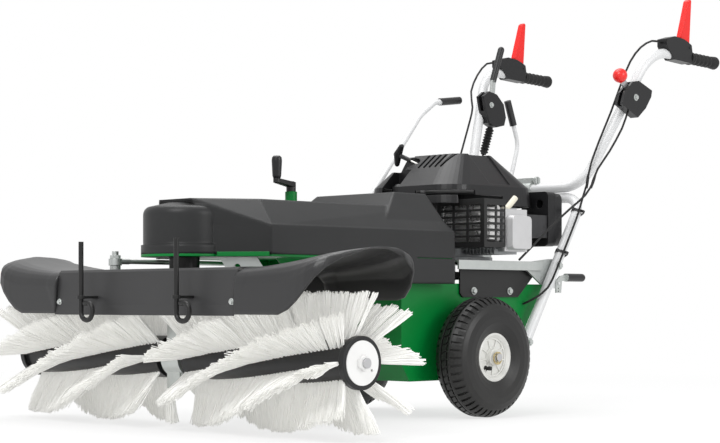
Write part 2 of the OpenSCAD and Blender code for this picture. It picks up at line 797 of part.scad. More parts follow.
// Silencer with its outlet
module muffler() {
    r = 10;
    cx = (guard_x0 + guard_x1) / 2;
    color([0.75, 0.75, 0.76]) machine() {
        difference() {
            hull($fn = hull_fn) for (x = [guard_x0 + 22, guard_x1 - 24]) for (z = [guard_z0 + 24, guard_z1 - 24]) {
                translate([x, guard_y0 + 12, z]) rotate([-90, 0, 0]) cylinder(h = guard_y1 - guard_y0 - 18, r = r);
            }
            translate([guard_x0 + 24, guard_y0 + 15, guard_z0 + 26])
                cube([guard_x1 - guard_x0 - 50, guard_y1 - guard_y0 - 24, guard_z1 - guard_z0 - 52]);
            translate([cx + 26, guard_y0, guard_z1 - 44]) rotate([-90, 0, 0]) cylinder(h = 40, r = 8);
        }
        for (k = [-1 : 1]) {
            translate([cx - 56, guard_y0 + 9, (guard_z0 + guard_z1) / 2 + 24 * k - 4]) cube([112, 5, 8]);
        }
    }
}

// Pierced guard round the silencer: a row of slots on the front face and another on the side face
module muffler_guard() {
    t = 2.5;
    rows = 6;
    pitch = (guard_z1 - guard_z0 - 24) / rows;
    color([0.07, 0.07, 0.07]) machine() difference() {
        translate([guard_x0, guard_y0, guard_z0])
            cube([guard_x1 - guard_x0, guard_y1 - guard_y0, guard_z1 - guard_z0]);
        translate([guard_x0 - 1, guard_y0 + t, guard_z0 + t])
            cube([guard_x1 - guard_x0 + 1 - t, guard_y1 - guard_y0, guard_z1 - guard_z0 - 2 * t]);
        for (k = [0 : rows - 1]) {
            z = guard_z0 + 14 + k * pitch;
            for (x = [guard_x0 + 14, guard_x0 + 62, guard_x0 + 110]) {
                translate([x, guard_y0 - 1, z]) cube([40, t + 2, pitch - 6]);
            }
            for (y = [guard_y0 + 12, guard_y0 + 51]) {
                translate([guard_x1 - t - 1, y, z]) cube([t + 2, 32, pitch - 6]);
            }
        }
    }
}

// Cast cover of the valve gear
module rocker_cover() {
    x0 = 222;
    h = 28;
    color([0.8, 0.81, 0.82]) machine() {
        translate([x0, engine_y - 46, 430]) cube([6, 92, 112]);
        hull($fn = hull_fn) for (y = [engine_y - 28, engine_y + 28]) for (z = [448, 512]) {
            translate([x0 + 6, y, z]) along_x() cylinder(h = h - 6, r1 = 15, r2 = 11);
        }
    }
}

// Spark plug with its boot, in the angle between the silencer guard and the head
module plug_boot() {
    y = engine_y - 30;
    color([0.86, 0.84, 0.76]) machine() {
        translate([214, y, 542]) cylinder(h = 6, r = 9);
        difference() {
            translate([214, y, 536]) rotate([-50, 0, 0]) cylinder(h = 58, r = 8);
            translate([190, y - 20, 520]) cube([50, 80, 22]);
        }
    }
}

clean_x0 = 88;
clean_x1 = 182;
clean_y0 = engine_y + 194;
clean_y1 = 406;
clean_z0 = 450;
clean_z1 = 600;

// Air cleaner box with its round intake and the snap cover
module air_cleaner() {
    color([0.09, 0.09, 0.09]) machine() difference() {
        union() {
            hull($fn = hull_fn) for (x = [clean_x0 + 14, clean_x1 - 14]) for (z = [clean_z0 + 14, clean_z1 - 14]) {
                translate([x, clean_y0, z]) rotate([-90, 0, 0]) cylinder(h = 34, r = 14);
            }
            hull($fn = hull_fn) for (x = [clean_x0 + 22, clean_x1 - 22]) for (z = [clean_z0 + 22, clean_z1 - 22]) {
                translate([x, clean_y0 + 34, z]) rotate([-90, 0, 0]) cylinder(h = clean_y1 - clean_y0 - 34, r = 20);
            }
        }
        translate([clean_x1 - 30, clean_y0 - 1, clean_z1 - 34]) rotate([-90, 0, 0]) cylinder(h = 26, r = 12);
    }
}

// Belt drive

// Pulley with a flat-bottomed groove for a belt that runs on radius r
module pulley(r, w) {
    difference() {
        cylinder(h = w + 8, r = r + belt_t + 2);
        translate([0, 0, 4 - gap]) difference() {
            cylinder(h = w + 2 * gap, r = r + belt_t + 10);
            translate([0, 0, -1]) cylinder(h = w + 2 * gap + 2, r = r - gap);
        }
    }
}

// Belt round two pulleys at the places y0 and y1
module belt(y0, r0, y1, r1) {
    linear_extrude(belt_w) difference() {
        belt_loop(y0, r0 + belt_t, y1, r1 + belt_t);
        belt_loop(y0, r0, y1, r1);
    }
}

module belt_loop(y0, r0, y1, r1) {
    hull() {
        translate([0, y0]) circle(r0);
        translate([0, y1]) circle(r1);
    }
}

// The two drive belts: engine to jackshaft and jackshaft to brush
module drive_belts() {
    color([0.06, 0.06, 0.06]) machine() {
        translate([0, 0, brush_belt_z]) belt(brush_y, drive_pulley_r, jack_y, jack_upper_r);
        translate([0, 0, engine_belt_z]) belt(jack_y, jack_lower_r, engine_y, engine_pulley_r);
    }
}

gear_top_z = brush_axis_z + 46;

// Front pulley and the upright shaft down to the brush gearbox
module drive_pulley() {
    color([0.6, 0.6, 0.62]) machine() translate([0, brush_y, 0]) {
        translate([0, 0, brush_belt_z - 4]) pulley(drive_pulley_r, belt_w);
        translate([0, 0, gear_top_z + 6]) cylinder(h = brush_belt_z + 40 - gear_top_z, r = pulley_shaft_r);
        translate([0, 0, brush_belt_z + belt_w]) cylinder(h = 14, r = 24);
    }
}

// Upright shaft on the gear case with the lower pulley for the engine and the upper one for the brush
module jackshaft() {
    color([0.6, 0.6, 0.62]) machine() translate([0, jack_y, 0]) {
        translate([0, 0, 270]) cylinder(h = brush_belt_z + 40 - 270, r = 10);
        translate([0, 0, engine_belt_z - 4]) pulley(jack_lower_r, belt_w);
        translate([0, 0, brush_belt_z - 4]) pulley(jack_upper_r, belt_w);
        translate([0, 0, 330 + gap]) cylinder(h = engine_belt_z - 334 - gap, r = 20);
    }
}

// Crankshaft end with the engine pulley
module engine_pulley() {
    color([0.6, 0.6, 0.62]) machine() translate([0, engine_y, 0]) {
        translate([0, 0, engine_belt_z - 6]) cylinder(h = deck_z + 50 - engine_belt_z, r = pulley_shaft_r);
        translate([0, 0, engine_belt_z - 4]) pulley(engine_pulley_r, belt_w);
    }
}

// Brush head

hood_front = 138;
hood_rear = 151;
hood_lip_z = 266;
hood_rear_z = 300;

// Section of the sheet part of the hood as [y, z] from the brush axis, drawn in by t
function hood_section(t) = [
    [-hood_front + t, hood_lip_z],
    [-hood_front + 6 + t, hood_lip_z + 24],
    [-hood_front + 14 + t, hood_top_z - 6],
    [-hood_front + 20 + t * 0.6, hood_top_z - t],
    [hood_rear - 12 - t * 0.5, hood_top_z - t],
    [hood_rear - t, hood_top_z - 12 - t * 0.5],
    [hood_rear - t, hood_rear_z]
];

function reversed(p) = [for (i = [len(p) - 1 : -1 : 0]) p[i]];

leg_half = 23;
leg_deep = 34;

module hood_sheet() {
    color([0.24, 0.24, 0.25]) machine() translate([0, brush_y, 0]) difference() {
        side_plate(concat(hood_section(0), reversed(hood_section(hood_t - 1))), -hood_seam, hood_seam);
        translate([0, 0, hood_top_z - 20]) cylinder(h = 40, r = pulley_shaft_r + 2);
        translate([stud_x, stud_y - brush_y, hood_top_z - 20]) cylinder(h = 40, r = stud_r + fit);
    }
}

// Flared moulded end of the hood, a loft over stations from the seam to the outermost point
flare_start = 470;
station_count = 12;
seam_flange = 15;
section_count = 14;

function flare_share(x) = max(0, (x - flare_start) / (hood_half - flare_start));
function rear_share(x) = max(0, (x - hood_half + 70) / 70);
function end_front_y(x) = -hood_front + 153 * pow(flare_share(x), 8);
function end_front_z(x) = hood_lip_z + 3 + (hood_top_z + hood_flare - hood_lip_z - 3) * pow(flare_share(x), 1.6);
function end_rear_y(x) = hood_rear - 130 * pow(rear_share(x), 10);
function end_rear_z(x) = hood_rear_z + (hood_top_z + hood_flare - hood_rear_z) * pow(rear_share(x), 2.2);
function end_crown_z(x) = hood_top_z + hood_flare * pow((x - hood_seam) / (hood_half - hood_seam), 1.7);
function boxy(v, e) = sign(v) * pow(abs(v), e);

// Wall at the seam: a flange behind the sheet that runs out at the two lower edges, clear of the bristles
function seam_wall(s) = lerp(hood_t, seam_flange, min(1, 3 * sin(180 * s)));

// Point of the section at x, where s runs from 0 at the front edge to 1 at the rear edge
function end_point(x, s, t) =
    let (e = lerp(0.3, 0.75, pow((x - hood_seam) / (hood_half - hood_seam), 3)),
         yf = end_front_y(x) + t,
         yr = end_rear_y(x) - t,
         base = lerp(end_front_z(x), end_rear_z(x), s),
         top = max(end_crown_z(x) - t, base + 0.4),
         a = 180 * s)
    [x, (yf + yr) / 2 - (yr - yf) / 2 * boxy(cos(a), e), base + (top - base) * boxy(sin(a), e)];

module hood_end() {
    x1 = hood_half - 1;
    n = section_count + 1;
    xs = [for (i = [0 : station_count]) lerp(hood_seam, x1, 1 - pow(1 - i / station_count, 1.6))];
    outer = [for (x = xs) for (k = [0 : section_count]) end_point(x, k / section_count, 0)];
    inner = [for (x = xs) for (k = [0 : section_count])
        end_point(x, k / section_count, x > hood_seam ? hood_t : seam_wall(k / section_count))];
    base = len(outer);
    skin = [for (i = [0 : station_count - 1]) for (k = [0 : section_count - 1])
        let (a = i * n + k, b = a + 1, c = a + n, d = c + 1)
        each [[a, b, d], [a, d, c], [base + a, base + d, base + b], [base + a, base + c, base + d]]];
    edges = [for (k = [0 : section_count - 1])
        let (a = k, b = k + 1, c = station_count * n + k, d = c + 1)
        each [[a, base + a, base + b], [a, base + b, b], [c, d, base + d], [c, base + d, base + c]]];
    sides = [for (i = [0 : station_count - 1])
        let (a = i * n, c = a + n, b = a + section_count, d = b + n)
        each [[a, c, base + c], [a, base + c, base + a], [b, base + d, d], [b, base + b, base + d]]];
    polyhedron(concat(outer, inner), concat(skin, edges, sides), convexity = 8);
}

module hood_end_left() { color([0.2, 0.2, 0.21]) machine() translate([0, brush_y, 0]) hood_end(); }

module hood_end_right() {
    color([0.2, 0.2, 0.21]) machine() translate([0, brush_y, 0]) mirror([1, 0, 0]) hood_end();
}

// Gearbox leg between the halves of the brush, hung under the hood
module brush_gearbox() {
    top = hood_top_z - hood_t + 1;
    color([0.72, 0.75, 0.75]) machine() translate([0, brush_y, 0]) difference() {
        union() {
            translate([-leg_half, -leg_deep, brush_axis_z - 74])
                cube([2 * leg_half, 2 * leg_deep, top - brush_axis_z + 74]);
            translate([0, 0, brush_axis_z]) along_x() cylinder(h = 2 * leg_half + 16, r = 48, center = true);
            translate([-70, -60, top - 8]) cube([140, 120, 8]);
        }
        translate([0, 0, brush_axis_z]) along_x() cylinder(h = 200, r = brush_shaft_d / 2 + fit, center = true);
        translate([0, 0, gear_top_z]) cylinder(h = 300, r = pulley_shaft_r + fit);
        for (s = [-1, 1]) translate([s * (leg_half + 8), 0, brush_axis_z]) along_x()
            cylinder(h = 4, r = 30, center = true);
    }
    color([0.72, 0.75, 0.75]) machine() translate([stud_x, stud_y, 0]) {
        translate([0, 0, hood_top_z - 10]) cylinder(h = rod_z + rod_r + 28 - hood_top_z, r = stud_r);
        translate([0, 0, hood_top_z]) cylinder(h = rod_z - 10 - gap - hood_top_z, r = 13);
        translate([0, 0, rod_z + rod_r + gap]) cylinder(h = 8, r = 13, $fn = 6);
    }
}

// Swivel bearing between the hood and the boom plate
module swivel_hub() {
    color([0.09, 0.09, 0.09]) machine() translate([0, brush_y, 0]) difference() {
        union() {
            translate([0, 0, hood_top_z]) cylinder(h = plate_z - plate_t - gap - hood_top_z, r = 36);
            translate([0, 0, hood_top_z]) cylinder(h = plate_z - hood_top_z + 8, r = hub_neck_r);
        }
        translate([0, 0, hood_top_z - 1]) cylinder(h = 60, r = pulley_shaft_r + fit);
    }
}

loop_r = 20;
loop_low_z = 254;
lug_z = 308;

// Two hooks on lugs at the front of the hood, with upright pins
module hood_hooks() {
    plate_y = -hood_front + 6 + 8 * (lug_z - hood_lip_z - 24) / (hood_top_z - hood_lip_z - 30);
    color([0.07, 0.07, 0.07]) machine() for (x = [-hook_x, hook_x]) {
        translate([x, hook_y, 0]) {
            bent_bar([
                [0, 0, hook_top_z], [0, 0, loop_low_z], [2 * loop_r + 4, 0, loop_low_z],
                [2 * loop_r + 4, 0, loop_low_z + 40], [14, 0, loop_low_z + 40]
            ], [loop_r, loop_r, 16], hook_d / 2);
            translate([0, 0, lug_z - 4]) cylinder(h = 8, r = collar_r);
            translate([-12, 0, lug_z - 3]) cube([24, hook_ahead + plate_y - 0.3, 6]);
        }
    }
}

stud_x = -171;
stud_y = brush_y - 74;
stud_r = 8;
rod_z = 395;
rod_r = 6;
rod_end = [swivel_x, -8, rod_z];

// Swivel tie rod: ball end on the head's stud and slotted end beside the swivel lever
module tie_rod() {
    a = [stud_x, stud_y, rod_z];
    d = unit(rod_end - a);
    color([0.8, 0.81, 0.82]) machine() {
        difference() {
            union() {
                rod(a + d * 18, rod_end - d * 26, rod_r);
                translate(a - [0, 0, 10]) cylinder(h = 10 + rod_r, r = 16);
                rod(a + d * 15, a + d * 44, rod_r + 1);
                translate(rod_end) translate([-4, -34, -20]) cube([8, 68, 54]);
            }
            translate(a - [0, 0, 30]) cylinder(h = 60, r = stud_r + fit);
            translate(rod_end - [10, 8.5, 9]) cube([20, 17, 30]);
        }
    }
}

shaft_end_x = brush_half + 17;

// Brush shaft with the nuts at its ends, and the stud of the tie rod is on the gearbox side
module brush_shaft() {
    color([0.68, 0.69, 0.7]) machine() translate([0, brush_y, brush_axis_z]) {
        along_x() cylinder(h = 2 * shaft_end_x, r = brush_shaft_d / 2, center = true);
    }
}

// Core tubes with their webs and the black end rings
module brush_cores() {
    inner_x = brush_gap / 2;
    ring_w = 14;
    color([0.12, 0.12, 0.12]) machine() translate([0, brush_y, brush_axis_z]) both_sides() {
        difference() {
            union() {
                translate([inner_x, 0, 0]) along_x() cylinder(h = brush_half - inner_x, r = core_d / 2);
                translate([brush_half - ring_w, 0, 0]) along_x() cylinder(h = ring_w, r = ring_d / 2);
            }
            translate([inner_x + 10, 0, 0]) along_x()
                cylinder(h = brush_half - inner_x - 30, r = core_d / 2 - 5);
            translate([brush_half - 4, 0, 0]) along_x() cylinder(h = 10, r = disc_d / 2 + fit);
            along_x() cylinder(h = 2000, r = brush_shaft_d / 2 + fit, center = true);
        }
    }
}

disc_d = 97;

// White end discs with the nut that holds them
module brush_end_plates() {
    color([0.93, 0.93, 0.92]) machine() translate([0, brush_y, brush_axis_z]) both_sides()
        translate([brush_half - 4, 0, 0]) along_x() difference() {
            union() {
                cylinder(h = 6, r = disc_d / 2);
                cylinder(h = 16, r = 17, $fn = 6);
            }
            translate([0, 0, -1]) cylinder(h = 30, r = brush_shaft_d / 2 + fit);
            translate([0, 0, -1]) rotate([0, 0, 60]) translate([32, 0, 0]) cylinder(h = 10, r = 3);
        }
}

// Tufts of one half: strands that grow out of a sleeve round the core, in rows that wind along it
tuft_deg = 16;
row_pitch = 360 / row_count;
wind_rows = 2;
backing_r = core_d / 2 + 7;
backing_in_r = core_d / 2 / cos((row_pitch - tuft_deg) / 2) + 0.5;
tuft_x0 = brush_gap / 2 + 1;
tuft_x1 = brush_half - 15;
inner_lean = 6;

function column_deg(j) = floor(j / 2) * row_pitch + (j % 2) * tuft_deg;
function tuft_x(i) = lerp(tuft_x0, tuft_x1, i / tuft_count);
function wind_deg(i) = -wind_rows * row_pitch * i / tuft_count;
function lean(s) = end_lean * pow(s, 4) - inner_lean * pow(1 - s, 6);
function polar(x, r, a) = [x, r * cos(a), r * sin(a)];

// Corner of the tip of tuft i in row j, where u and v are -1 or 1
function tip_point(i, row, u, v) =
    let (s = (i + 0.5) / tuft_count,
         x = lerp(tuft_x0, tuft_x1, s) + lean(s),
         a = row * row_pitch + tuft_deg / 2 + wind_deg(i + 0.5),
         r = sqrt(pow(brush_tip_r, 2) - 36) - 0.12 * abs(lean(s)))
    polar(x + u * 5, r, a + v * 2);

module bristles() {
    cols = 2 * row_count;
    n = tuft_count;
    grid = [for (i = [0 : n]) for (j = [0 : cols - 1]) polar(tuft_x(i), backing_r, column_deg(j) + wind_deg(i))];
    bore = [for (x = [tuft_x0, tuft_x1]) for (j = [0 : cols - 1]) polar(x, backing_in_r, column_deg(j))];
    tips = [for (i = [0 : n - 1]) for (row = [0 : row_count - 1])
        each [tip_point(i, row, -1, -1), tip_point(i, row, -1, 1), tip_point(i, row, 1, 1), tip_point(i, row, 1, -1)]];
    b0 = len(grid);
    t0 = b0 + len(bore);
    plain = [for (i = [0 : n - 1]) for (row = [0 : row_count - 1])
        let (j = 2 * row + 1, k = (j + 1) % cols, a = i * cols + j, b = i * cols + k)
        each [[a, a + cols, b + cols], [a, b + cols, b]]];
    tufts = [for (i = [0 : n - 1]) for (row = [0 : row_count - 1])
        let (a = i * cols + 2 * row, b = a + 1, c = b + cols, d = a + cols, t = t0 + 4 * (i * row_count + row),
             foot = [a, b, c, d])
        each concat(
            [for (k = [0 : 3]) each let (m = (k + 1) % 4)
                [[foot[k], t + k, t + m], [foot[k], t + m, foot[m]]]],
            [[t, t + 2, t + 1], [t, t + 3, t + 2]])];
    inside = [for (j = [0 : cols - 1]) let (k = (j + 1) % cols)
        each [[b0 + j, b0 + cols + k, b0 + cols + j], [b0 + j, b0 + k, b0 + cols + k]]];
    first = [for (j = [0 : cols - 1]) let (k = (j + 1) % cols)
        each [[j, k, b0 + k], [j, b0 + k, b0 + j]]];
    last = [for (j = [0 : cols - 1])
        let (k = (j + 1) % cols, turn = cols - 2 * wind_rows, p = b0 + cols + (j + turn) % cols,
             q = b0 + cols + (k + turn) % cols)
        each [[n * cols + j, p, q], [n * cols + j, q, n * cols + k]]];
    polyhedron(concat(grid, bore, tips), concat(plain, tufts, inside, first, last), convexity = 10);
}

module bristles_left() {
    color([0.93, 0.93, 0.9]) machine() translate([0, brush_y, brush_axis_z]) bristles();
}

module bristles_right() {
    color([0.93, 0.93, 0.9]) machine() translate([0, brush_y, brush_axis_z]) rotate([0, 0, 180]) bristles();
}

// Height adjustment

ring_z = roof_z;
sleeve_top_z = 573;

// Sleeve of the height spindle with its rubber ring on the cover
module crank_sleeve() {
    color([0, 0.55, 0.2]) machine() translate([0, spindle_y, 0]) difference() {
        union() {
            translate([0, 0, plate_z]) cylinder(h = sleeve_top_z - plate_z, r = sleeve_r);
            translate([0, 0, ring_z]) cylinder(h = 7, r = 27);
        }
        translate([0, 0, plate_z - 1]) cylinder(h = 300, r = spindle_d / 2 + fit);
    }
}

crank_dir = unit([11, -59, 0]);
crank_z = sleeve_top_z + 12;
strut_top_z = 360;
strut_low_z = 190;

// Spindle with its boss and the arm of the hand crank
module crank_handle() {
    tip = crank_dir * crank_reach;
    color([0.15, 0.15, 0.15]) machine() translate([0, spindle_y, 0]) {
        translate([0, 0, 300]) cylinder(h = crank_z + 14 - 300, r = spindle_d / 2);
        translate([0, 0, sleeve_top_z + gap]) cylinder(h = crank_z + 12 - sleeve_top_z - gap, r = 12);
        difference() {
            hull($fn = hull_fn) {
                translate([0, 0, crank_z]) cylinder(h = 12, r = 12);
                translate(tip + [0, 0, crank_z + 8]) cylinder(h = 10, r = 9);
            }
            translate(tip + [0, 0, crank_z]) cylinder(h = 40, r = 5);
        }
        translate(tip + [0, 0, crank_z + 6]) cylinder(h = 60, r = 5);
    }
}

// Turning grip of the hand crank
module crank_grip() {
    tip = crank_dir * crank_reach;
    color([0.1, 0.1, 0.1]) machine() translate(tip + [0, spindle_y, crank_z + 18 + gap]) difference() {
        rotate_extrude() polygon([[0, 0], [9, 0], [11, 6], [13, 44], [12, 52], [8, 56], [0, 56]]);
        translate([0, 0, -1]) cylinder(h = 51, r = 5 + fit);
    }
}

kingpin_r = 8;
kingpin_top_z = 230;

// Strut that the spindle raises and lowers in the guide tube
module support_strut() {
    color([0.72, 0.73, 0.74]) machine() translate([0, spindle_y, 0]) difference() {
        union() {
            translate([0, 0, strut_low_z]) cylinder(h = strut_top_z - strut_low_z, r = strut_r);
            translate([0, 0, strut_low_z]) cylinder(h = 8, r = 32);
        }
        translate([0, 0, 250]) cylinder(h = 200, r = spindle_d / 2 + fit);
        translate([0, 0, strut_low_z - 1]) cylinder(h = kingpin_top_z - strut_low_z + 2, r = kingpin_r + fit);
    }
}

trail = 34;
castor_w = 42;
castor_axle_r = 6;
castor_z = castor_d / 2;

// Swivelling fork of the castor
module castor_fork() {
    top = strut_low_z - gap;
    half = castor_w / 2 + 3;
    color([0.72, 0.73, 0.74]) machine() translate([0, spindle_y, 0]) {
        translate([0, 0, top - 8]) cylinder(h = 8, r = 32);
        translate([0, 0, top - 8]) cylinder(h = kingpin_top_z - top + 8, r = kingpin_r);
        both_sides() side_plate([
            [-24, top], [26, top], [trail + 14, castor_z], [trail + 8, castor_z - 14],
            [trail - 8, castor_z - 14], [trail - 16, castor_z], [-24, top - 30]
        ], half, half + 5);
        translate([-half - 5, -24, top - 8]) cube([2 * half + 10, 48, 8]);
        translate([0, trail, castor_z]) along_x() cylinder(h = 2 * half + 10, r = castor_axle_r, center = true);
    }
}

// Solid rubber castor wheel
module castor_wheel() {
    r = castor_d / 2;
    w = castor_w / 2;
    color([0.12, 0.12, 0.12]) machine() translate([0, spindle_y + trail, castor_z]) along_x() difference() {
        rotate_extrude() polygon([
            [0, -w], [20, -w], [22, -w + 8], [r - 22, -w + 8], [r - 18, -w], [r - 5, -w], [r, -w + 7],
            [r, w - 7], [r - 5, w], [r - 18, w], [r - 22, w - 8], [22, w - 8], [20, w], [0, w]
        ]);
        cylinder(h = 100, r = castor_axle_r + fit, center = true);
    }
}

// Handlebar and controls

bar_y = hoop_top_y - 5;
bar_z = hoop_top_z + tube_d + 1.4;
bar_corner = [208, bar_y, bar_z];
leg_corner = [303, 650, 1003];
handle_end = [308, handle_end_y - 4, 994];
bar_bend = 80;
leg_bend = 120;

function flipped(p) = [for (i = [len(p) - 1 : -1 : 0]) [-p[i][0], p[i][1], p[i][2]]];
function on_leg(t) = lerp(bar_corner, leg_corner, t);
function on_handle(y) = lerp(leg_corner, handle_end, (y - leg_corner[1]) / (handle_end[1] - leg_corner[1]));

module handlebar() {
    half = [bar_corner, leg_corner, handle_end];
    color([0.82, 0.83, 0.84]) machine()
        bent_tube(concat(flipped(half), half), [leg_bend, bar_bend, bar_bend, leg_bend], tube_r, tube_wall);
}

// Moulded grips with finger waves
module handle_grips() {
    start_y = handle_end_y - grip_len;
    a = on_handle(start_y);
    d = unit(handle_end - leg_corner);
    r = grip_d / 2;
    waves = 5;
    color([0.09, 0.09, 0.09]) machine() both_sides() translate(a)
        rotate([0, acos(d[2]), atan2(d[1], d[0])]) difference() {
            rotate_extrude() polygon(concat(
                [[0, 0], [r + 2, 0], [r + 2, 7], [r - 1, 10]],
                [for (k = [0 : 4 * waves]) [r - 1.2 + 1.2 * cos(90 * k), 16 + k * (grip_len - 42) / (4 * waves)]],
                arc([r - 9, grip_len - 11], 11, 20, 90, 5),
                [[0, grip_len]]));
            translate([0, 0, -1]) cylinder(h = norm(handle_end - a) + 1.2, r = tube_r + fit);
        }
}

clutch_y = 815;
clutch_z = 1024;
bracket_front_y = 702;

// Moulded lever brackets on the handles
module lever_brackets() {
    w = 17;
    x = on_handle(760)[0];
    a = on_handle(724);
    b = on_handle(822);
    color([0.09, 0.09, 0.09]) machine() both_sides() difference() {
        side_plate([
            [bracket_front_y, 1020], [bracket_front_y + 6, 1012], [740, 984], [822, 980], [826, 1012],
            [822, 1032], [808, 1038], [784, 1046], [740, 1050], [bracket_front_y, 1040]
        ], x - w, x + w);
        rod(on_handle(680), on_handle(840), tube_r + fit);
        translate([x - 9, 752, 1016]) cube([18, 100, 60]);
    }
    color([0.09, 0.09, 0.09]) machine() both_sides()
        translate([x, clutch_y, clutch_z]) along_x() cylinder(h = 2 * w + 4, r = 4, center = true);
}

// Red clutch lever, shared by both sides
module clutch_lever() {
    x = on_handle(760)[0];
    tip = [clutch_y + 11, clutch_z + lever_len];
    difference() {
        union() {
            translate([x, clutch_y, clutch_z]) along_x() cylinder(h = 17, r = 7, center = true);
            side_plate([
                [clutch_y - 4, clutch_z - 5], [clutch_y + 6, clutch_z - 2], [tip[0] + 6, tip[1] - 4],
                [tip[0], tip[1]], [tip[0] - 8, tip[1] - 6], [clutch_y - 32, clutch_z + 30], [clutch_y - 30, clutch_z + 16]
            ], x - 8.5, x + 8.5);
        }
        translate([x, clutch_y, clutch_z]) along_x() cylinder(h = 40, r = 4 + fit, center = true);
        side_plate([
            [clutch_y - 2, clutch_z + 24], [tip[0] + 12, tip[1] - 10], [tip[0] + 12, clutch_z + 24]
        ], x - 5.5, x + 5.5);
    }
}

module clutch_lever_left() { color([0.9, 0.1, 0.08]) machine() clutch_lever(); }
module clutch_lever_right() { color([0.9, 0.1, 0.08]) machine() mirror([1, 0, 0]) clutch_lever(); }

clamp_half = 34;

// Clamp that holds the handlebar on the crossbar of the lower hoop
module handlebar_clamp() {
    r = tube_r + 6;
    color([0.74, 0.76, 0.76]) machine() difference() {
        union() {
            translate([0, hoop_top_y, hoop_top_z]) along_x() cylinder(h = 2 * clamp_half, r = r, center = true);
            translate([0, bar_y, bar_z]) along_x() cylinder(h = 2 * clamp_half, r = r, center = true);
            translate([-clamp_half, bar_y - r, hoop_top_z]) cube([2 * clamp_half, 2 * r + 5, bar_z - hoop_top_z]);
            translate([-clamp_half, bar_y - 9, bar_z + r - 4]) cube([2 * clamp_half, 18, 16]);
            translate([0, bar_y, bar_z + r + 4]) along_x() cylinder(h = 2 * clamp_half + 34, r = 5, center = true);
            translate([clamp_half + 8, bar_y, bar_z + r + 4]) along_x() cylinder(h = 9, r = 12, $fn = 6);
        }
        translate([0, hoop_top_y, hoop_top_z]) along_x() cylinder(h = 300, r = tube_r + fit, center = true);
        translate([0, bar_y, bar_z]) along_x() cylinder(h = 300, r = tube_r + fit, center = true);
        translate([-100, bar_y - 2, bar_z]) cube([200, 4, 60]);
    }
}

throttle_pivot = [580, 866];
speed_pivot = [610, 892];
box_t = 26;

// Housings of the throttle, on the left leg, and of the speed control, inside the right leg
module control_boxes() {
    left_x = on_leg(0.64)[0] + tube_r - 3;
    right_x = -on_leg(0.66)[0] + tube_r - 3;
    color([0.1, 0.1, 0.1]) machine() {
        difference() {
            side_plate([
                [526, 876], [562, 908], [590, 912], [652, 890], [648, 872], [622, 838], [586, 810], [512, 842]
            ], left_x, left_x + box_t);
            translate([left_x + 8, 490, 838]) cube([10, 90, 90]);
            translate([left_x + 8, throttle_pivot[0] - 10, throttle_pivot[1]]) cube([10, 22, 60]);
            rod(on_leg(0), on_leg(1), tube_r + fit);
            translate([left_x + 4, throttle_pivot[0], throttle_pivot[1]]) along_x() cylinder(h = 18, r = 12 + gap);
        }
        translate([left_x + 4.5, throttle_pivot[0], throttle_pivot[1]]) along_x() cylinder(h = 20, r = 4);
        difference() {
            side_plate([
                [556, 912], [580, 928], [616, 921], [648, 893], [658, 855], [650, 830], [614, 822], [582, 834], [566, 872]
            ], right_x, right_x + box_t + 4);
            translate([right_x + 8, 530, 870]) cube([12, 110, 90]);
            mirror([1, 0, 0]) rod(on_leg(0), on_leg(1), tube_r + fit);
            translate([right_x + 4, speed_pivot[0], speed_pivot[1]]) along_x() cylinder(h = 20, r = 12 + gap);
        }
        translate([right_x + 2, speed_pivot[0], speed_pivot[1]]) along_x() cylinder(h = 24, r = 4);
    }
}

// Throttle lever: strip of steel with a red knob
module throttle_lever() {
    x = on_leg(0.64)[0] + tube_r + 5 + 1.6;
    knob = [524, 914];
    color([0.9, 0.1, 0.08]) machine() {
        difference() {
            union() {
                translate([x, throttle_pivot[0], throttle_pivot[1]]) along_x() cylinder(h = 6.8, r = 12);
                side_plate([
                    [throttle_pivot[0] + 4, throttle_pivot[1] + 8], [throttle_pivot[0] - 8, throttle_pivot[1] - 6],
                    [knob[0] - 2, knob[1] - 12], [knob[0] + 12, knob[1] + 4]
                ], x + 1, x + 5.8);
                translate([x + 3.4, knob[0] - 4, knob[1] + 8]) sphere(20);
            }
            translate([x - 1, throttle_pivot[0], throttle_pivot[1]]) along_x() cylinder(h = 10, r = 4 + fit);
        }
    }
}

// Speed lever with its black grip
module speed_lever() {
    x = -on_leg(0.66)[0] + tube_r + 5 + 1.6;
    color([0.55, 0.56, 0.57]) machine() {
        difference() {
            union() {
                translate([x, speed_pivot[0], speed_pivot[1]]) along_x() cylinder(h = 8.8, r = 12);
                side_plate([
                    [speed_pivot[0] + 8, speed_pivot[1] + 6], [speed_pivot[0] - 10, speed_pivot[1]],
                    [speed_pivot[0] - 2, speed_pivot[1] + 74], [speed_pivot[0] + 16, speed_pivot[1] + 74]
                ], x + 1, x + 7.8);
                rod([x + 4.4, speed_pivot[0] + 6, speed_pivot[1] + 70], [x + 4.4, speed_pivot[0] + 44, speed_pivot[1] + 168], 10);
                translate([x + 4.4, speed_pivot[0] + 44, speed_pivot[1] + 168]) sphere(9.9);
            }
            translate([x - 1, speed_pivot[0], speed_pivot[1]]) along_x() cylinder(h = 12, r = 4 + fit);
        }
    }
}

bellows_top = [-245, 603, 822];
bellows_low = [-245, 571, 740];
bellows_ribs = 9;

// Ribbed bellows over the speed control's inner cable
module speed_bellows() {
    d = bellows_low - bellows_top;
    h = norm(d);
    color([0.08, 0.08, 0.08]) machine() translate(bellows_top)
        rotate([0, acos(d[2] / h), atan2(d[1], d[0])]) rotate_extrude() polygon(concat(
            [[4, 0], [8, 0]],
            [for (k = [0 : 2 * bellows_ribs]) [k % 2 == 0 ? 8.5 : 13, 4 + k * (h - 8) / (2 * bellows_ribs)]],
            [[8, h], [4, h]]));
}

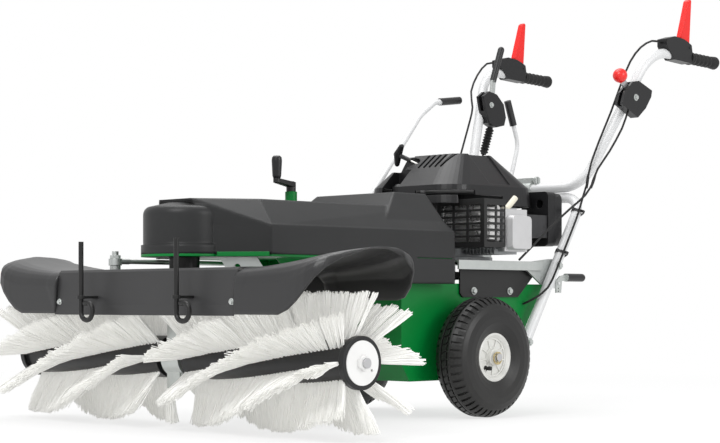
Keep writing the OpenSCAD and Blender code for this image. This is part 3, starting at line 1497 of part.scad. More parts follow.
cable_r = 3;
clutch_upper_left = [
    [303, 701, 1030], [303, 655, 1030], [295, 612, 1008], [280, 585, 968], [264, 566, 909],
    [250, 536, 826], [240, 494, 741], [236, 464, 679], [238, 446, 634]
];
clutch_upper_right = [
    [-303, 701, 1030], [-303, 655, 1024], [-300, 608, 985], [-294, 572, 932], [-266, 546, 880],
    [-260, 528, 840], [-260, 500, 770], [-258, 472, 700], [-240, 446, 634]
];
clutch_lower = [
    [238, 444, 624], [231, 436, 590], [226, 414, 530], [226, 370, 458], [226, 325, 386],
    [224, 290, 336], [206, 258, 308], [176, 244, 292]
];
throttle_upper = [[295, 552, 824], [293, 528, 776], [276, 494, 712], [258, 466, 664], [253, 454, 634]];
throttle_lower = [
    [252, 450, 624], [247, 424, 590], [226, 384, 552], [206, 322, 500], [196, 262, 450], [190, 210, 410]
];
speed_upper = [[-245, 570, 738], [-247, 548, 705], [-252, 496, 666], [-254, 456, 634]];
speed_lower = [
    [-253, 452, 624], [-247, 430, 590], [-240, 408, 530], [-240, 364, 458], [-240, 320, 386],
    [-236, 284, 330], [-214, 254, 290], [-176, 240, 264]
];
cable_steps = 2;

// Control cables on the handlebar, down to where it tilts
module handlebar_cables() {
    color([0.05, 0.05, 0.05]) machine() {
        cord(spline(clutch_upper_left, cable_steps), cable_r);
        cord(spline(clutch_upper_right, cable_steps), cable_r);
        cord(spline(throttle_upper, cable_steps), cable_r);
        cord(spline(speed_upper, cable_steps), cable_r);
    }
}

// Control cables from there down along the lower hoop
module chassis_cables() {
    color([0.05, 0.05, 0.05]) machine() {
        both_sides() cord(spline(clutch_lower, cable_steps), cable_r);
        cord(spline(throttle_lower, cable_steps), cable_r);
        cord(spline(speed_lower, cable_steps), cable_r);
    }
}

swivel_pivot = [swivel_x, -8, 492];

// Long lever that swivels the brush head through the tie rod
module swivel_lever() {
    first = swivel_pivot + [-24, 100, 94];
    start = swivel_pivot + unit(first - swivel_pivot) * 10;
    bow = swivel_pivot + [-58, 348, 350];
    knee = swivel_pivot + [-58, 412, 394];
    tip = swivel_pivot + [-58, 520, 408];
    arm_x = swivel_pivot[0] + 14.5;
    color([0.75, 0.76, 0.77]) machine() difference() {
        union() {
            bent_bar([start, first, bow, knee, tip], [90, 200, 34], 8);
            translate(swivel_pivot - [11, 0, 0]) along_x() cylinder(h = 29.5, r = 18);
            side_plate([
                [swivel_pivot[1] - 14, swivel_pivot[2]], [swivel_pivot[1] - 9, rod_z - 8],
                [swivel_pivot[1] + 9, rod_z - 8], [swivel_pivot[1] + 14, swivel_pivot[2]]
            ], arm_x, arm_x + 4);
            translate([swivel_pivot[0] - 14, swivel_pivot[1], rod_z]) along_x() cylinder(h = 32, r = 5);
            rod(lerp(knee, tip, 0.2), tip + unit(tip - knee) * 2, 11);
        }
        translate(swivel_pivot) along_x() cylinder(h = 60, r = 7 + fit, center = true);
    }
}

gear_pivot = [-20, 312, 422];

// Gear lever behind the engine
module gear_lever() {
    knee = [gear_pivot[0], 432, 662];
    bow = [gear_pivot[0], 460, 748];
    tip = [gear_pivot[0], 414, 866];
    start = gear_pivot + unit(knee - gear_pivot) * 8;
    color([0.7, 0.71, 0.72]) machine() difference() {
        union() {
            bent_bar([start, knee, bow, tip], [120, 60], 6);
            translate(gear_pivot) along_x() cylinder(h = 20, r = 13, center = true);
            rod(lerp(bow, tip, 0.45), tip + unit(tip - bow) * 3, 10);
        }
        translate(gear_pivot) along_x() cylinder(h = 60, r = 5 + fit, center = true);
    }
}

// Release lever of the wheel drive beside the left leg of the hoop
module release_lever() {
    x = hoop_x + 3 + gap;
    color([0.2, 0.2, 0.2]) machine() {
        difference() {
            union() {
                side_plate([
                    [release_y - 9, release_z - 26], [release_y + 12, release_z - 26], [release_y + 16, release_z + 6],
                    [release_y + 40, release_z + 8], [release_y + 40, release_z + 24], [release_y + 8, release_z + 20],
                    [release_y - 9, release_z + 6]
                ], x, x + 4);
                translate([x + 2, release_y + 34, release_z + 16]) rotate([-90, 0, 0]) cylinder(h = 70, r = 11);
                translate([x + 2, release_y + 104, release_z + 16]) sphere(11);
            }
            translate([x - 1, release_y, release_z]) along_x() cylinder(h = 10, r = 4 + fit);
            for (z = [-14, -22]) {
                translate([x - 1, release_y, release_z + z]) along_x() cylinder(h = 10, r = 2.5);
            }
        }
    }
}

// Pull handle of the recoil starter, with the end of its rope
module starter_handle() {
    grip = rope_exit + pull_dir * 58;
    across = unit(cross(pull_dir, [0.3, 1, 0]));
    color([0.12, 0.12, 0.12]) machine() {
        rod(rope_exit + pull_dir * 12, grip, 6);
        hull($fn = hull_fn) {
            for (s = [-1, 1]) translate(grip + across * 26 * s - pull_dir * 6) sphere(7);
            translate(grip + pull_dir * 2) sphere(9);
        }
    }
}

chassis_body();
boom_frame();
lock_plate();
belt_cover();
engine_deck();
deck_side_plates();
hoop_frame();
gear_case();
engine_block();
engine_cowl();
muffler();
muffler_guard();
rocker_cover();
plug_boot();
air_cleaner();
crank_sleeve();
drive_belts();
fuel_cap();
chassis_cables();
tyre_left();
rim_left();
axle_left();
tyre_right();
rim_right();
axle_right();
hood_sheet();
hood_end_left();
hood_end_right();
brush_gearbox();
swivel_hub();
hood_hooks();
tie_rod();
brush_shaft();
brush_cores();
bristles_left();
bristles_right();
brush_end_plates();
drive_pulley();
jackshaft();
engine_pulley();
crank_handle();
crank_grip();
support_strut();
castor_fork();
castor_wheel();
handlebar();
handle_grips();
lever_brackets();
handlebar_clamp();
control_boxes();
handlebar_cables();
speed_bellows();
clutch_lever_left();
clutch_lever_right();
throttle_lever();
speed_lever();
swivel_lever();
gear_lever();
release_lever();
starter_handle();
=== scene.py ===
import json
import logging
import math
from dataclasses import dataclass, field
from enum import Enum
from typing import Any, Iterable, Sequence

import bpy
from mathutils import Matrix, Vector


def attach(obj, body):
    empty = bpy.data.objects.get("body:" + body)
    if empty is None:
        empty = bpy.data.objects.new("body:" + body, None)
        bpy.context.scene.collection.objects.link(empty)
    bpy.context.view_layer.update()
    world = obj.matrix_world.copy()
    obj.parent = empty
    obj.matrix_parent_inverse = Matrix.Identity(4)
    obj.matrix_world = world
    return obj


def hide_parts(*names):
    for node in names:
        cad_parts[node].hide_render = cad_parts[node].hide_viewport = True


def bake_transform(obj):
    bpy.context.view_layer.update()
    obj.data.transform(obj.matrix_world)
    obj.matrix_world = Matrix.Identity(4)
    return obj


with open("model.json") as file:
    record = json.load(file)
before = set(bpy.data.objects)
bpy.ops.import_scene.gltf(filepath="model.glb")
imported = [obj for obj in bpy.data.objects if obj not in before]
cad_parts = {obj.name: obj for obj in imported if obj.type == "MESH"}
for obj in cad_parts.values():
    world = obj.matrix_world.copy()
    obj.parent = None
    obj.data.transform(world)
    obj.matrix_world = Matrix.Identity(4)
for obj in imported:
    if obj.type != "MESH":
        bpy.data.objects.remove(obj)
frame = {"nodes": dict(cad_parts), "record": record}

log = logging.getLogger("sweeper")
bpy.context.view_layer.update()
Point = tuple[float, float, float]
Colour = tuple[float, float, float]
# Millimetres along Y from the wheel axle, where the sizes start, to the frame's zero.
Y_SHIFT = 10.0
BEVEL_SAMPLES = 8
DUST_COLOUR: Colour = (0.32, 0.3, 0.27)


def mm(x: float, y: float, z: float) -> Point:
    """Turns a place in millimetres, counted along Y from the wheel axle, into metres in the shared frame.

    Args:
        x: distance to the machine's left.
        y: distance behind the axle.
        z: height above the ground.

    Returns:
        The place in metres.
    """
    return (x / 1000, (y + Y_SHIFT) / 1000, z / 1000)


class Grain(Enum):
    """Kinds of fine surface relief."""

    MOULDED = "moulded"
    PAINT = "paint"
    BRUSHED = "brushed"
    RUBBER = "rubber"
    CAST = "cast"
    FIBRE = "fibre"


class Tree:
    """Thin wrapper that adds and links nodes in a node tree."""

    def __init__(self, tree: bpy.types.NodeTree) -> None:
        """Keeps the tree that nodes are added to."""
        self.tree = tree

    def add(self, kind: str, inputs: dict[Any, Any] | None = None, **props: Any) -> bpy.types.Node:
        """Adds a node.

        Args:
            kind: the node's type name.
            inputs: values or output sockets for its inputs, by name or index.
            props: properties set before the inputs.

        Returns:
            The new node.
        """
        node = self.tree.nodes.new(kind)
        for name, value in props.items():
            setattr(node, name, value)
        for key, value in (inputs or {}).items():
            socket = node.inputs[key]
            if isinstance(value, bpy.types.NodeSocket):
                self.tree.links.new(value, socket)
            else:
                socket.default_value = value
        return node

    def math(self, operation: str, *values: Any) -> bpy.types.NodeSocket:
        """Adds a math node.

        Args:
            operation: the operation's name.
            values: numbers or sockets for its inputs.

        Returns:
            The output socket.
        """
        return self.add("ShaderNodeMath", dict(enumerate(values)), operation=operation).outputs[0]

    def vector_math(self, operation: str, *values: Any, output: int = 0) -> bpy.types.NodeSocket:
        """Adds a vector math node.

        Args:
            operation: the operation's name.
            values: vectors or sockets for its inputs.
            output: which output to return.

        Returns:
            The output socket.
        """
        node = self.add("ShaderNodeVectorMath", dict(enumerate(values)), operation=operation)
        return node.outputs[output]

    def noise(self, vector: Any, scale: Any, detail: float, output: int = 0) -> bpy.types.NodeSocket:
        """Adds a noise texture.

        Args:
            vector: the coordinates that it reads.
            scale: how fine it is.
            detail: how many finer layers it has.
            output: 0 for its value, 1 for its colour.

        Returns:
            The output socket.
        """
        inputs = {"Vector": vector, "Scale": scale, "Detail": detail}
        return self.add("ShaderNodeTexNoise", inputs).outputs[output]

    def combine(self, x: Any, y: Any, z: Any) -> bpy.types.NodeSocket:
        """Joins three values to a vector and returns its socket."""
        return self.add("ShaderNodeCombineXYZ", {0: x, 1: y, 2: z}).outputs[0]


class SurfaceGroups:
    """Shader node groups that several finishes share."""

    def __init__(self) -> None:
        """Builds the groups once."""
        self.mottle = self._mottle()
        self.grain = {kind: self._grain(kind) for kind in Grain}
        self.dust = self._dust()
        self.beyond = self._beyond()
        self.off_axis = self._off_axis()

    @staticmethod
    def _open(name: str, inputs: Sequence[tuple[str, str, Any]],
              outputs: Sequence[tuple[str, str]]) -> tuple[Tree, Any, Any]:
        """Makes an empty group with its sockets.

        Args:
            name: the group's name.
            inputs: name, socket type and default of each input.
            outputs: name and socket type of each output.

        Returns:
            The tree, its input node and its output node.
        """
        group = bpy.data.node_groups.new(name, "ShaderNodeTree")
        for label, kind, default in inputs:
            socket = group.interface.new_socket(label, in_out="INPUT", socket_type=kind)
            if default is not None:
                socket.default_value = default
        for label, kind in outputs:
            group.interface.new_socket(label, in_out="OUTPUT", socket_type=kind)
        tree = Tree(group)
        return tree, tree.add("NodeGroupInput"), tree.add("NodeGroupOutput")

    def _mottle(self) -> bpy.types.NodeTree:
        """Soft uneven patches, as an amount from 0 to 1.

        Returns:
            The node group.
        """
        tree, gin, gout = self._open(
            "uneven patches",
            [("Vector", "NodeSocketVector", None), ("Scale", "NodeSocketFloat", 9.0),
             ("Contrast", "NodeSocketFloat", 1.0)],
            [("Amount", "NodeSocketFloat")],
        )
        wide = tree.add("ShaderNodeTexNoise", {"Vector": gin.outputs[0], "Scale": gin.outputs[1],
                                               "Detail": 5.0, "Roughness": 0.62})
        centred = tree.math("SUBTRACT", wide.outputs[0], 0.5)
        spread = tree.math("MULTIPLY", centred, gin.outputs[2])
        amount = tree.add("ShaderNodeMath", {0: spread, 1: 0.5}, operation="ADD", use_clamp=True)
        tree.tree.links.new(amount.outputs[0], gout.inputs[0])
        return tree.tree

    def _grain(self, kind: Grain) -> bpy.types.NodeTree:
        """Height of one kind of fine relief.

        Args:
            kind: the relief.

        Returns:
            The node group.
        """
        tree, gin, gout = self._open(
            kind.value + " relief",
            [("Vector", "NodeSocketVector", None), ("Scale", "NodeSocketFloat", 600.0)],
            [("Height", "NodeSocketFloat")],
        )
        vector, scale = gin.outputs[0], gin.outputs[1]
        if kind is Grain.MOULDED:
            inputs = {"Vector": vector, "Scale": scale}
            height = tree.add("ShaderNodeTexVoronoi", inputs, feature="SMOOTH_F1").outputs[0]
        elif kind is Grain.BRUSHED:
            stretched = tree.vector_math("MULTIPLY", vector, (1.0, 0.05, 1.0))
            height = tree.noise(stretched, scale, 3.0)
        elif kind is Grain.FIBRE:
            stretched = tree.vector_math("MULTIPLY", vector, (1.0, 0.15, 0.15))
            height = tree.noise(stretched, scale, 2.0)
        else:
            detail = {Grain.PAINT: 2.0, Grain.RUBBER: 8.0, Grain.CAST: 6.0}[kind]
            height = tree.noise(vector, scale, detail)
        tree.tree.links.new(height, gout.inputs[0])
        return tree.tree

    def _dust(self) -> bpy.types.NodeTree:
        """Dust that gathers near the ground, as an amount from 0 to 1.

        Returns:
            The node group.
        """
        tree, gin, gout = self._open(
            "ground dust",
            [("Vector", "NodeSocketVector", None), ("Top", "NodeSocketFloat", 0.3),
             ("Strength", "NodeSocketFloat", 0.3)],
            [("Amount", "NodeSocketFloat")],
        )
        split = tree.add("ShaderNodeSeparateXYZ", {0: gin.outputs[0]})
        fade = tree.math("SUBTRACT", 1.0, tree.math("DIVIDE", split.outputs[2], gin.outputs[1]))
        patches = tree.noise(gin.outputs[0], 34.0, 7.0)
        strong = tree.math("MULTIPLY", tree.math("MULTIPLY", patches, gin.outputs[2]), 1.6)
        amount = tree.add("ShaderNodeMath", {0: fade, 1: strong}, operation="MULTIPLY", use_clamp=True)
        tree.tree.links.new(amount.outputs[0], gout.inputs[0])
        return tree.tree

    def _beyond(self) -> bpy.types.NodeTree:
        """Mask that is 1 beyond a plane.

        Returns:
            The node group.
        """
        names = [("Vector", "NodeSocketVector", None), ("Point", "NodeSocketVector", None),
                 ("Normal", "NodeSocketVector", None)]
        tree, gin, gout = self._open("beyond a plane", names, [("Mask", "NodeSocketFloat")])
        offset = tree.vector_math("SUBTRACT", gin.outputs[0], gin.outputs[1])
        depth = tree.vector_math("DOT_PRODUCT", offset, gin.outputs[2], output=1)
        tree.tree.links.new(tree.math("GREATER_THAN", depth, 0.0), gout.inputs[0])
        return tree.tree

    def _off_axis(self) -> bpy.types.NodeTree:
        """Mask that is 1 further than a radius from an axis along X.

        Returns:
            The node group.
        """
        names = [("Vector", "NodeSocketVector", None), ("Point", "NodeSocketVector", None),
                 ("Radius", "NodeSocketFloat", 0.01)]
        tree, gin, gout = self._open("off an axis", names, [("Mask", "NodeSocketFloat")])
        offset = tree.vector_math("SUBTRACT", gin.outputs[0], gin.outputs[1])
        flat = tree.vector_math("MULTIPLY", offset, (0.0, 1.0, 1.0))
        distance = tree.vector_math("LENGTH", flat, output=1)
        tree.tree.links.new(tree.math("GREATER_THAN", distance, gin.outputs[2]), gout.inputs[0])
        return tree.tree


@dataclass(frozen=True)
class Finish:
    """One surface finish.

    The colour runs between base and tint in soft patches, the roughness between rough_low and rough_high.
    Edges are rounded to the radius edge, in metres, and shine is the level of the plain reflection.
    Glow is painted light: a share of the colour given off as emission, which brightens the shade among thin
    filaments and stands in for the light that passes through them.
    """

    name: str
    base: Colour
    tint: Colour
    rough_low: float
    rough_high: float
    grain: Grain = Grain.PAINT
    grain_scale: float = 600.0
    grain_depth: float = 0.1
    grain_step: float = 0.0004
    metallic: float = 0.0
    coat: float = 0.0
    coat_rough: float = 0.1
    patch_scale: float = 9.0
    patch_contrast: float = 1.4
    dust: float = 0.0
    edge: float = 0.0
    shine: float = 0.5
    glow: float = 0.0

    def sockets(self, tree: Tree, place: bpy.types.NodeSocket, groups: SurfaceGroups) -> dict[str, Any]:
        """Adds the finish's nodes to a material.

        Args:
            tree: the material's tree.
            place: the coordinates that the patterns read.
            groups: the shared node groups.

        Returns:
            What goes to each input of the shader, by the input's name.
        """
        patches = tree.add("ShaderNodeGroup", node_tree=groups.mottle)
        tree.tree.links.new(place, patches.inputs["Vector"])
        patches.inputs["Scale"].default_value = self.patch_scale
        patches.inputs["Contrast"].default_value = self.patch_contrast
        amount = patches.outputs[0]
        patched = {0: amount, 6: (*self.base, 1.0), 7: (*self.tint, 1.0)}
        colour = tree.add("ShaderNodeMix", patched, data_type="RGBA").outputs[2]
        if self.dust > 0:
            dust = tree.add("ShaderNodeGroup", node_tree=groups.dust)
            tree.tree.links.new(place, dust.inputs["Vector"])
            dust.inputs["Strength"].default_value = self.dust
            dusty = {0: dust.outputs[0], 6: colour, 7: (*DUST_COLOUR, 1.0)}
            colour = tree.add("ShaderNodeMix", dusty, data_type="RGBA").outputs[2]
        between = {0: amount, 3: self.rough_low, 4: self.rough_high}
        rough = tree.add("ShaderNodeMapRange", between).outputs[0]
        relief = tree.add("ShaderNodeGroup", node_tree=groups.grain[self.grain])
        tree.tree.links.new(place, relief.inputs["Vector"])
        relief.inputs["Scale"].default_value = self.grain_scale
        bump = tree.add("ShaderNodeBump", {"Strength": self.grain_depth, "Distance": self.grain_step,
                                           "Height": relief.outputs[0]})
        if self.edge > 0:
            soft = tree.add("ShaderNodeBevel", {"Radius": self.edge}, samples=BEVEL_SAMPLES)
            tree.tree.links.new(soft.outputs[0], bump.inputs["Normal"])
        # Emission of the colour at the glow's strength is painted light, a brightness that no lamp gives.
        return {"Base Color": colour, "Roughness": rough, "Normal": bump.outputs[0],
                "Metallic": self.metallic, "Coat Weight": self.coat, "Coat Roughness": self.coat_rough,
                "Specular IOR Level": self.shine, "Emission Color": colour,
                "Emission Strength": self.glow}

    def build(self, groups: SurfaceGroups) -> bpy.types.Material:
        """Makes the material.

        Args:
            groups: the shared node groups.

        Returns:
            The material.
        """
        material, tree, shader, place = open_material(self.name)
        wire_shader(tree, shader, self.sockets(tree, place, groups))
        return material


def open_material(name: str) -> tuple[bpy.types.Material, Tree, bpy.types.Node, bpy.types.NodeSocket]:
    """Starts a material.

    Args:
        name: its name.

    Returns:
        The material, its tree, its shader and the coordinates of the object.
    """
    material = bpy.data.materials.new(name)
    material.use_nodes = True
    tree = Tree(material.node_tree)
    place = tree.add("ShaderNodeTexCoord").outputs["Object"]
    return material, tree, material.node_tree.nodes["Principled BSDF"], place


def wire_shader(tree: Tree, shader: bpy.types.Node, values: dict[str, Any]) -> None:
    """Sets or links the inputs of a shader.

    Args:
        tree: the material's tree.
        shader: its shader.
        values: numbers or sockets by the input's name.
    """
    for name, value in values.items():
        if isinstance(value, bpy.types.NodeSocket):
            tree.tree.links.new(value, shader.inputs[name])
        else:
            shader.inputs[name].default_value = value


class Split(Enum):
    """How a piece of two finishes is divided."""

    BEYOND = "beyond"
    OFF_AXIS = "off_axis"


@dataclass(frozen=True)
class TwoTone:
    """A node in two finishes, such as a steel lever with a moulded grip.

    For BEYOND, facing is the plane's normal. For OFF_AXIS, its first number is the radius.
    """

    node: str
    near: str
    far: str
    split: Split
    point: Point
    facing: Point

    def build(self, groups: SurfaceGroups, finishes: dict[str, Finish]) -> bpy.types.Material:
        """Makes the material.

        Args:
            groups: the shared node groups.
            finishes: all finishes by name.

        Returns:
            The material.
        """
        material, tree, shader, place = open_material(self.node + "_finish")
        mask = tree.add("ShaderNodeGroup", node_tree=getattr(groups, self.split.value))
        tree.tree.links.new(place, mask.inputs["Vector"])
        mask.inputs["Point"].default_value = self.point
        if self.split is Split.BEYOND:
            mask.inputs["Normal"].default_value = self.facing
        else:
            mask.inputs["Radius"].default_value = self.facing[0]
        one = finishes[self.near].sockets(tree, place, groups)
        two = finishes[self.far].sockets(tree, place, groups)
        from_near = ("Normal", "Coat Roughness", "Specular IOR Level")
        values: dict[str, Any] = {name: one[name] for name in from_near}
        mixed = {0: mask.outputs[0], 6: one["Base Color"], 7: two["Base Color"]}
        values["Base Color"] = tree.add("ShaderNodeMix", mixed, data_type="RGBA").outputs[2]
        for name in ("Roughness", "Metallic", "Coat Weight"):
            mixed = {0: mask.outputs[0], 2: one[name], 3: two[name]}
            values[name] = tree.add("ShaderNodeMix", mixed).outputs[0]
        wire_shader(tree, shader, values)
        return material


FINISHES: tuple[Finish, ...] = (
    Finish("green_paint", (0.0, 0.205, 0.036), (0.0, 0.165, 0.028), 0.30, 0.40, grain_scale=160,
           grain_depth=0.03, coat=0.05, edge=0.0025, shine=0.22),
    Finish("charcoal_plastic", (0.030, 0.0305, 0.031), (0.025, 0.0255, 0.026), 0.30, 0.40,
           Grain.MOULDED, 700, 0.08, 0.0003, edge=0.010, shine=0.2),
    Finish("hood_moulding", (0.026, 0.026, 0.027), (0.022, 0.022, 0.023), 0.26, 0.34, Grain.MOULDED,
           1300, 0.04, 0.0002, edge=0.010),
    Finish("satin_black", (0.034, 0.034, 0.035), (0.029, 0.029, 0.030), 0.34, 0.44, grain_scale=260,
           grain_depth=0.04, edge=0.0015),
    Finish("black_plastic", (0.010, 0.010, 0.011), (0.008, 0.008, 0.009), 0.30, 0.42, Grain.MOULDED,
           700, 0.1, 0.0003, edge=0.002, shine=0.4),
    Finish("zinc_steel", (0.60, 0.62, 0.60), (0.50, 0.53, 0.52), 0.30, 0.46, Grain.BRUSHED, 260, 0.05,
           0.0002, metallic=0.75, patch_scale=40, edge=0.001),
    Finish("silver_paint", (0.70, 0.705, 0.71), (0.63, 0.635, 0.64), 0.44, 0.54, grain_scale=60,
           grain_depth=0.004, metallic=0.15, edge=0.003),
    Finish("black_paint", (0.010, 0.010, 0.010), (0.014, 0.014, 0.014), 0.32, 0.44, grain_scale=260,
           grain_depth=0.04, edge=0.0015, shine=0.4),
    Finish("cast_alloy", (0.42, 0.43, 0.44), (0.34, 0.35, 0.36), 0.42, 0.6, Grain.CAST, 420, 0.3,
           0.0005, metallic=0.7, patch_scale=25, edge=0.002),
    Finish("bright_alloy", (0.58, 0.58, 0.585), (0.52, 0.52, 0.525), 0.34, 0.46, Grain.CAST, 420, 0.15,
           0.0004, metallic=0.3, patch_scale=25, edge=0.002),
    Finish("dark_alloy", (0.055, 0.055, 0.058), (0.035, 0.035, 0.037), 0.4, 0.58, Grain.CAST, 420, 0.3,
           0.0005, metallic=0.4, patch_scale=25, edge=0.002),
    Finish("silencer_steel", (0.92, 0.92, 0.92), (0.82, 0.81, 0.79), 0.22, 0.34, Grain.BRUSHED, 300,
           0.04, 0.0002, metallic=0.9, edge=0.003),
    Finish("ivory_plastic", (0.72, 0.69, 0.58), (0.64, 0.61, 0.50), 0.36, 0.46, Grain.MOULDED, 900,
           0.08),
    Finish("tyre_rubber", (0.006, 0.006, 0.006), (0.010, 0.010, 0.0098), 0.36, 0.50, Grain.RUBBER, 300,
           0.12, 0.0005, dust=0.03, edge=0.0012, shine=0.42),
    Finish("rubber", (0.009, 0.009, 0.009), (0.013, 0.013, 0.013), 0.46, 0.60, Grain.RUBBER, 300, 0.12,
           0.0003, shine=0.3),
    Finish("rim_paint", (0.72, 0.72, 0.69), (0.64, 0.64, 0.61), 0.34, 0.46, grain_scale=240,
           grain_depth=0.03, coat=0.2, edge=0.0015),
    Finish("yellow_zinc", (0.62, 0.50, 0.24), (0.50, 0.42, 0.26), 0.3, 0.44, Grain.BRUSHED, 260, 0.06,
           0.0002, metallic=0.85, patch_scale=40),
    Finish("bright_steel", (0.60, 0.60, 0.61), (0.50, 0.50, 0.51), 0.24, 0.38, Grain.BRUSHED, 240, 0.06,
           0.0002, metallic=0.9, edge=0.0008),
    # The nylon's glow is painted light: the filaments and the starter rope give off a share of their
    # colour, which lifts their shade.
    Finish("nylon", (0.93, 0.925, 0.895), (0.86, 0.86, 0.84), 0.40, 0.52, Grain.FIBRE, 800, 0.05,
           0.0002, patch_scale=60, glow=0.17),
    Finish("white_plastic", (0.82, 0.82, 0.81), (0.76, 0.76, 0.75), 0.26, 0.36, grain_scale=240,
           grain_depth=0.03, coat=0.3, edge=0.001),
    Finish("red_plastic", (0.82, 0.016, 0.012), (0.72, 0.012, 0.010), 0.24, 0.34, grain_scale=240,
           grain_depth=0.02, coat=0.1, edge=0.0015, shine=0.35),
)
NODE_FINISHES: dict[str, str] = {"hood_end_left": "hood_moulding", "hood_end_right": "hood_moulding",
                                 "hood_sheet": "satin_black", "rocker_cover": "bright_alloy"}


TWO_TONES: tuple[TwoTone, ...] = (
    TwoTone("engine_block", "cast_alloy", "dark_alloy", Split.BEYOND,
            mm(0, 206, 0), (0.0, 1.0, 0.0)),
    TwoTone("throttle_lever", "bright_steel", "red_plastic", Split.BEYOND,
            mm(0, 532.4, 910.4), (0.0, -0.731, 0.682)),
    TwoTone("speed_lever", "zinc_steel", "black_plastic", Split.BEYOND,
            mm(0, 616, 962), (0.0, 0.362, 0.932)),
    TwoTone("swivel_lever", "silver_paint", "black_plastic", Split.BEYOND,
            mm(0, 425.6, 888.8), (0.0, 0.992, 0.129)),
    TwoTone("gear_lever", "silver_paint", "black_plastic", Split.BEYOND,
            mm(0, 439.3, 801.1), (0.0, -0.363, 0.932)),
    TwoTone("release_lever", "zinc_steel", "black_plastic", Split.BEYOND,
            mm(0, 384, 364), (0.0, 1.0, 0.0)),
    TwoTone("axle_left", "bright_steel", "yellow_zinc", Split.OFF_AXIS,
            mm(0, 0, 155), (0.0105, 0.0, 0.0)),
    TwoTone("axle_right", "bright_steel", "yellow_zinc", Split.OFF_AXIS,
            mm(0, 0, 155), (0.0105, 0.0, 0.0)),
)


class Palette:
    """All materials by finish name, and the two-toned ones by node name."""

    def __init__(self) -> None:
        """Builds every finish."""
        groups = SurfaceGroups()
        finishes = {finish.name: finish for finish in FINISHES}
        self.materials: dict[str, bpy.types.Material] = {}
        self.materials.update({finish.name: finish.build(groups) for finish in FINISHES})
        self.materials.update({tone.node: tone.build(groups, finishes) for tone in TWO_TONES})

    def __getitem__(self, name: str) -> bpy.types.Material:
        """Returns the material of that name."""
        return self.materials[name]

    def dress_frame(self) -> None:
        """Gives every CAD node its own two-toned finish, or the finish of its slot in the record."""
        slots = {part["node"]: part["material_slot"] for part in frame["record"]["subparts"]}
        for name, obj in frame["nodes"].items():
            obj.data.materials.clear()
            chosen = name if name in self.materials else NODE_FINISHES.get(name, slots[name])
            obj.data.materials.append(self[chosen])


class PieceMaker:
    """Turns meshes and node trees into finished pieces."""

    @staticmethod
    def mesh(name: str, points: Iterable[Point], faces: Iterable[Sequence[int]],
             material: bpy.types.Material, smooth: bool = True) -> bpy.types.Object:
        """Makes a piece from points and faces.

        Args:
            name: the piece's name.
            points: places in metres.
            faces: corner numbers of each face.
            material: its finish.
            smooth: whether faces are shaded smooth.

        Returns:
            The object.
        """
        data = bpy.data.meshes.new(name)
        data.from_pydata([tuple(p) for p in points], [], [tuple(f) for f in faces])
        data.validate()
        data.polygons.foreach_set("use_smooth", [smooth] * len(data.polygons))
        data.materials.append(material)
        obj = bpy.data.objects.new(name, data)
        bpy.context.scene.collection.objects.link(obj)
        return obj

    @staticmethod
    def grow(name: str, source: bpy.types.Object, tree: bpy.types.NodeTree,
             values: dict[str, Any]) -> bpy.types.Object:
        """Runs a geometry node tree on an object and keeps the plain result.

        Args:
            name: the piece's name.
            source: the object that the tree starts from, removed afterwards.
            tree: the geometry node tree.
            values: its inputs by name.

        Returns:
            The finished object.
        """
        modifier = source.modifiers.new("grow", "NODES")
        modifier.node_group = tree
        for item in tree.interface.items_tree:
            if item.item_type == "SOCKET" and item.in_out == "INPUT" and item.name in values:
                modifier[item.identifier] = values[item.name]
        graph = bpy.context.evaluated_depsgraph_get()
        data = bpy.data.meshes.new_from_object(source.evaluated_get(graph))
        data.name = name
        obj = bpy.data.objects.new(name, data)
        bpy.context.scene.collection.objects.link(obj)
        bpy.data.objects.remove(source)
        return obj

    @staticmethod
    def tube(name: str, path: Sequence[Point], radii: Sequence[float], material: bpy.types.Material,
             sides: int = 12) -> bpy.types.Object:
        """Makes a closed round tube along a path.

        Args:
            name: the piece's name.
            path: places in metres.
            radii: the radius at each place, in metres.
            material: its finish.
            sides: corners round the tube.

        Returns:
            The object.
        """
        spots = [Vector(p) for p in path]
        points: list[Point] = []
        faces: list[Sequence[int]] = []
        side = None
        for i, spot in enumerate(spots):
            ahead = (spots[min(i + 1, len(spots) - 1)] - spots[max(i - 1, 0)]).normalized()
            if side is None:
                side = ahead.orthogonal().normalized()
            side = (side - ahead * side.dot(ahead)).normalized()
            other = ahead.cross(side)
            for k in range(sides):
                turn = 2 * math.pi * k / sides
                points.append(tuple(spot + radii[i] * (side * math.cos(turn) + other * math.sin(turn))))
        for i in range(len(spots) - 1):
            for k in range(sides):
                a, b = i * sides + k, i * sides + (k + 1) % sides
                faces.append((a, b, b + sides, a + sides))
        faces.append(tuple(range(sides))[::-1])
        faces.append(tuple(range((len(spots) - 1) * sides, len(spots) * sides)))
        return PieceMaker.mesh(name, points, faces, material)


def open_geometry(name: str, inputs: Sequence[tuple[str, str]]) -> tuple[Tree, Any, Any]:
    """Makes an empty geometry node tree.

    Args:
        name: the tree's name.
        inputs: name and socket type of each input after the geometry.

    Returns:
        The tree, its input node and its output node.
    """
    group = bpy.data.node_groups.new(name, "GeometryNodeTree")
    group.interface.new_socket("Geometry", in_out="INPUT", socket_type="NodeSocketGeometry")
    group.interface.new_socket("Geometry", in_out="OUTPUT", socket_type="NodeSocketGeometry")
    for label, kind in inputs:
        group.interface.new_socket(label, in_out="INPUT", socket_type=kind)
    tree = Tree(group)
    return tree, tree.add("NodeGroupInput"), tree.add("NodeGroupOutput")


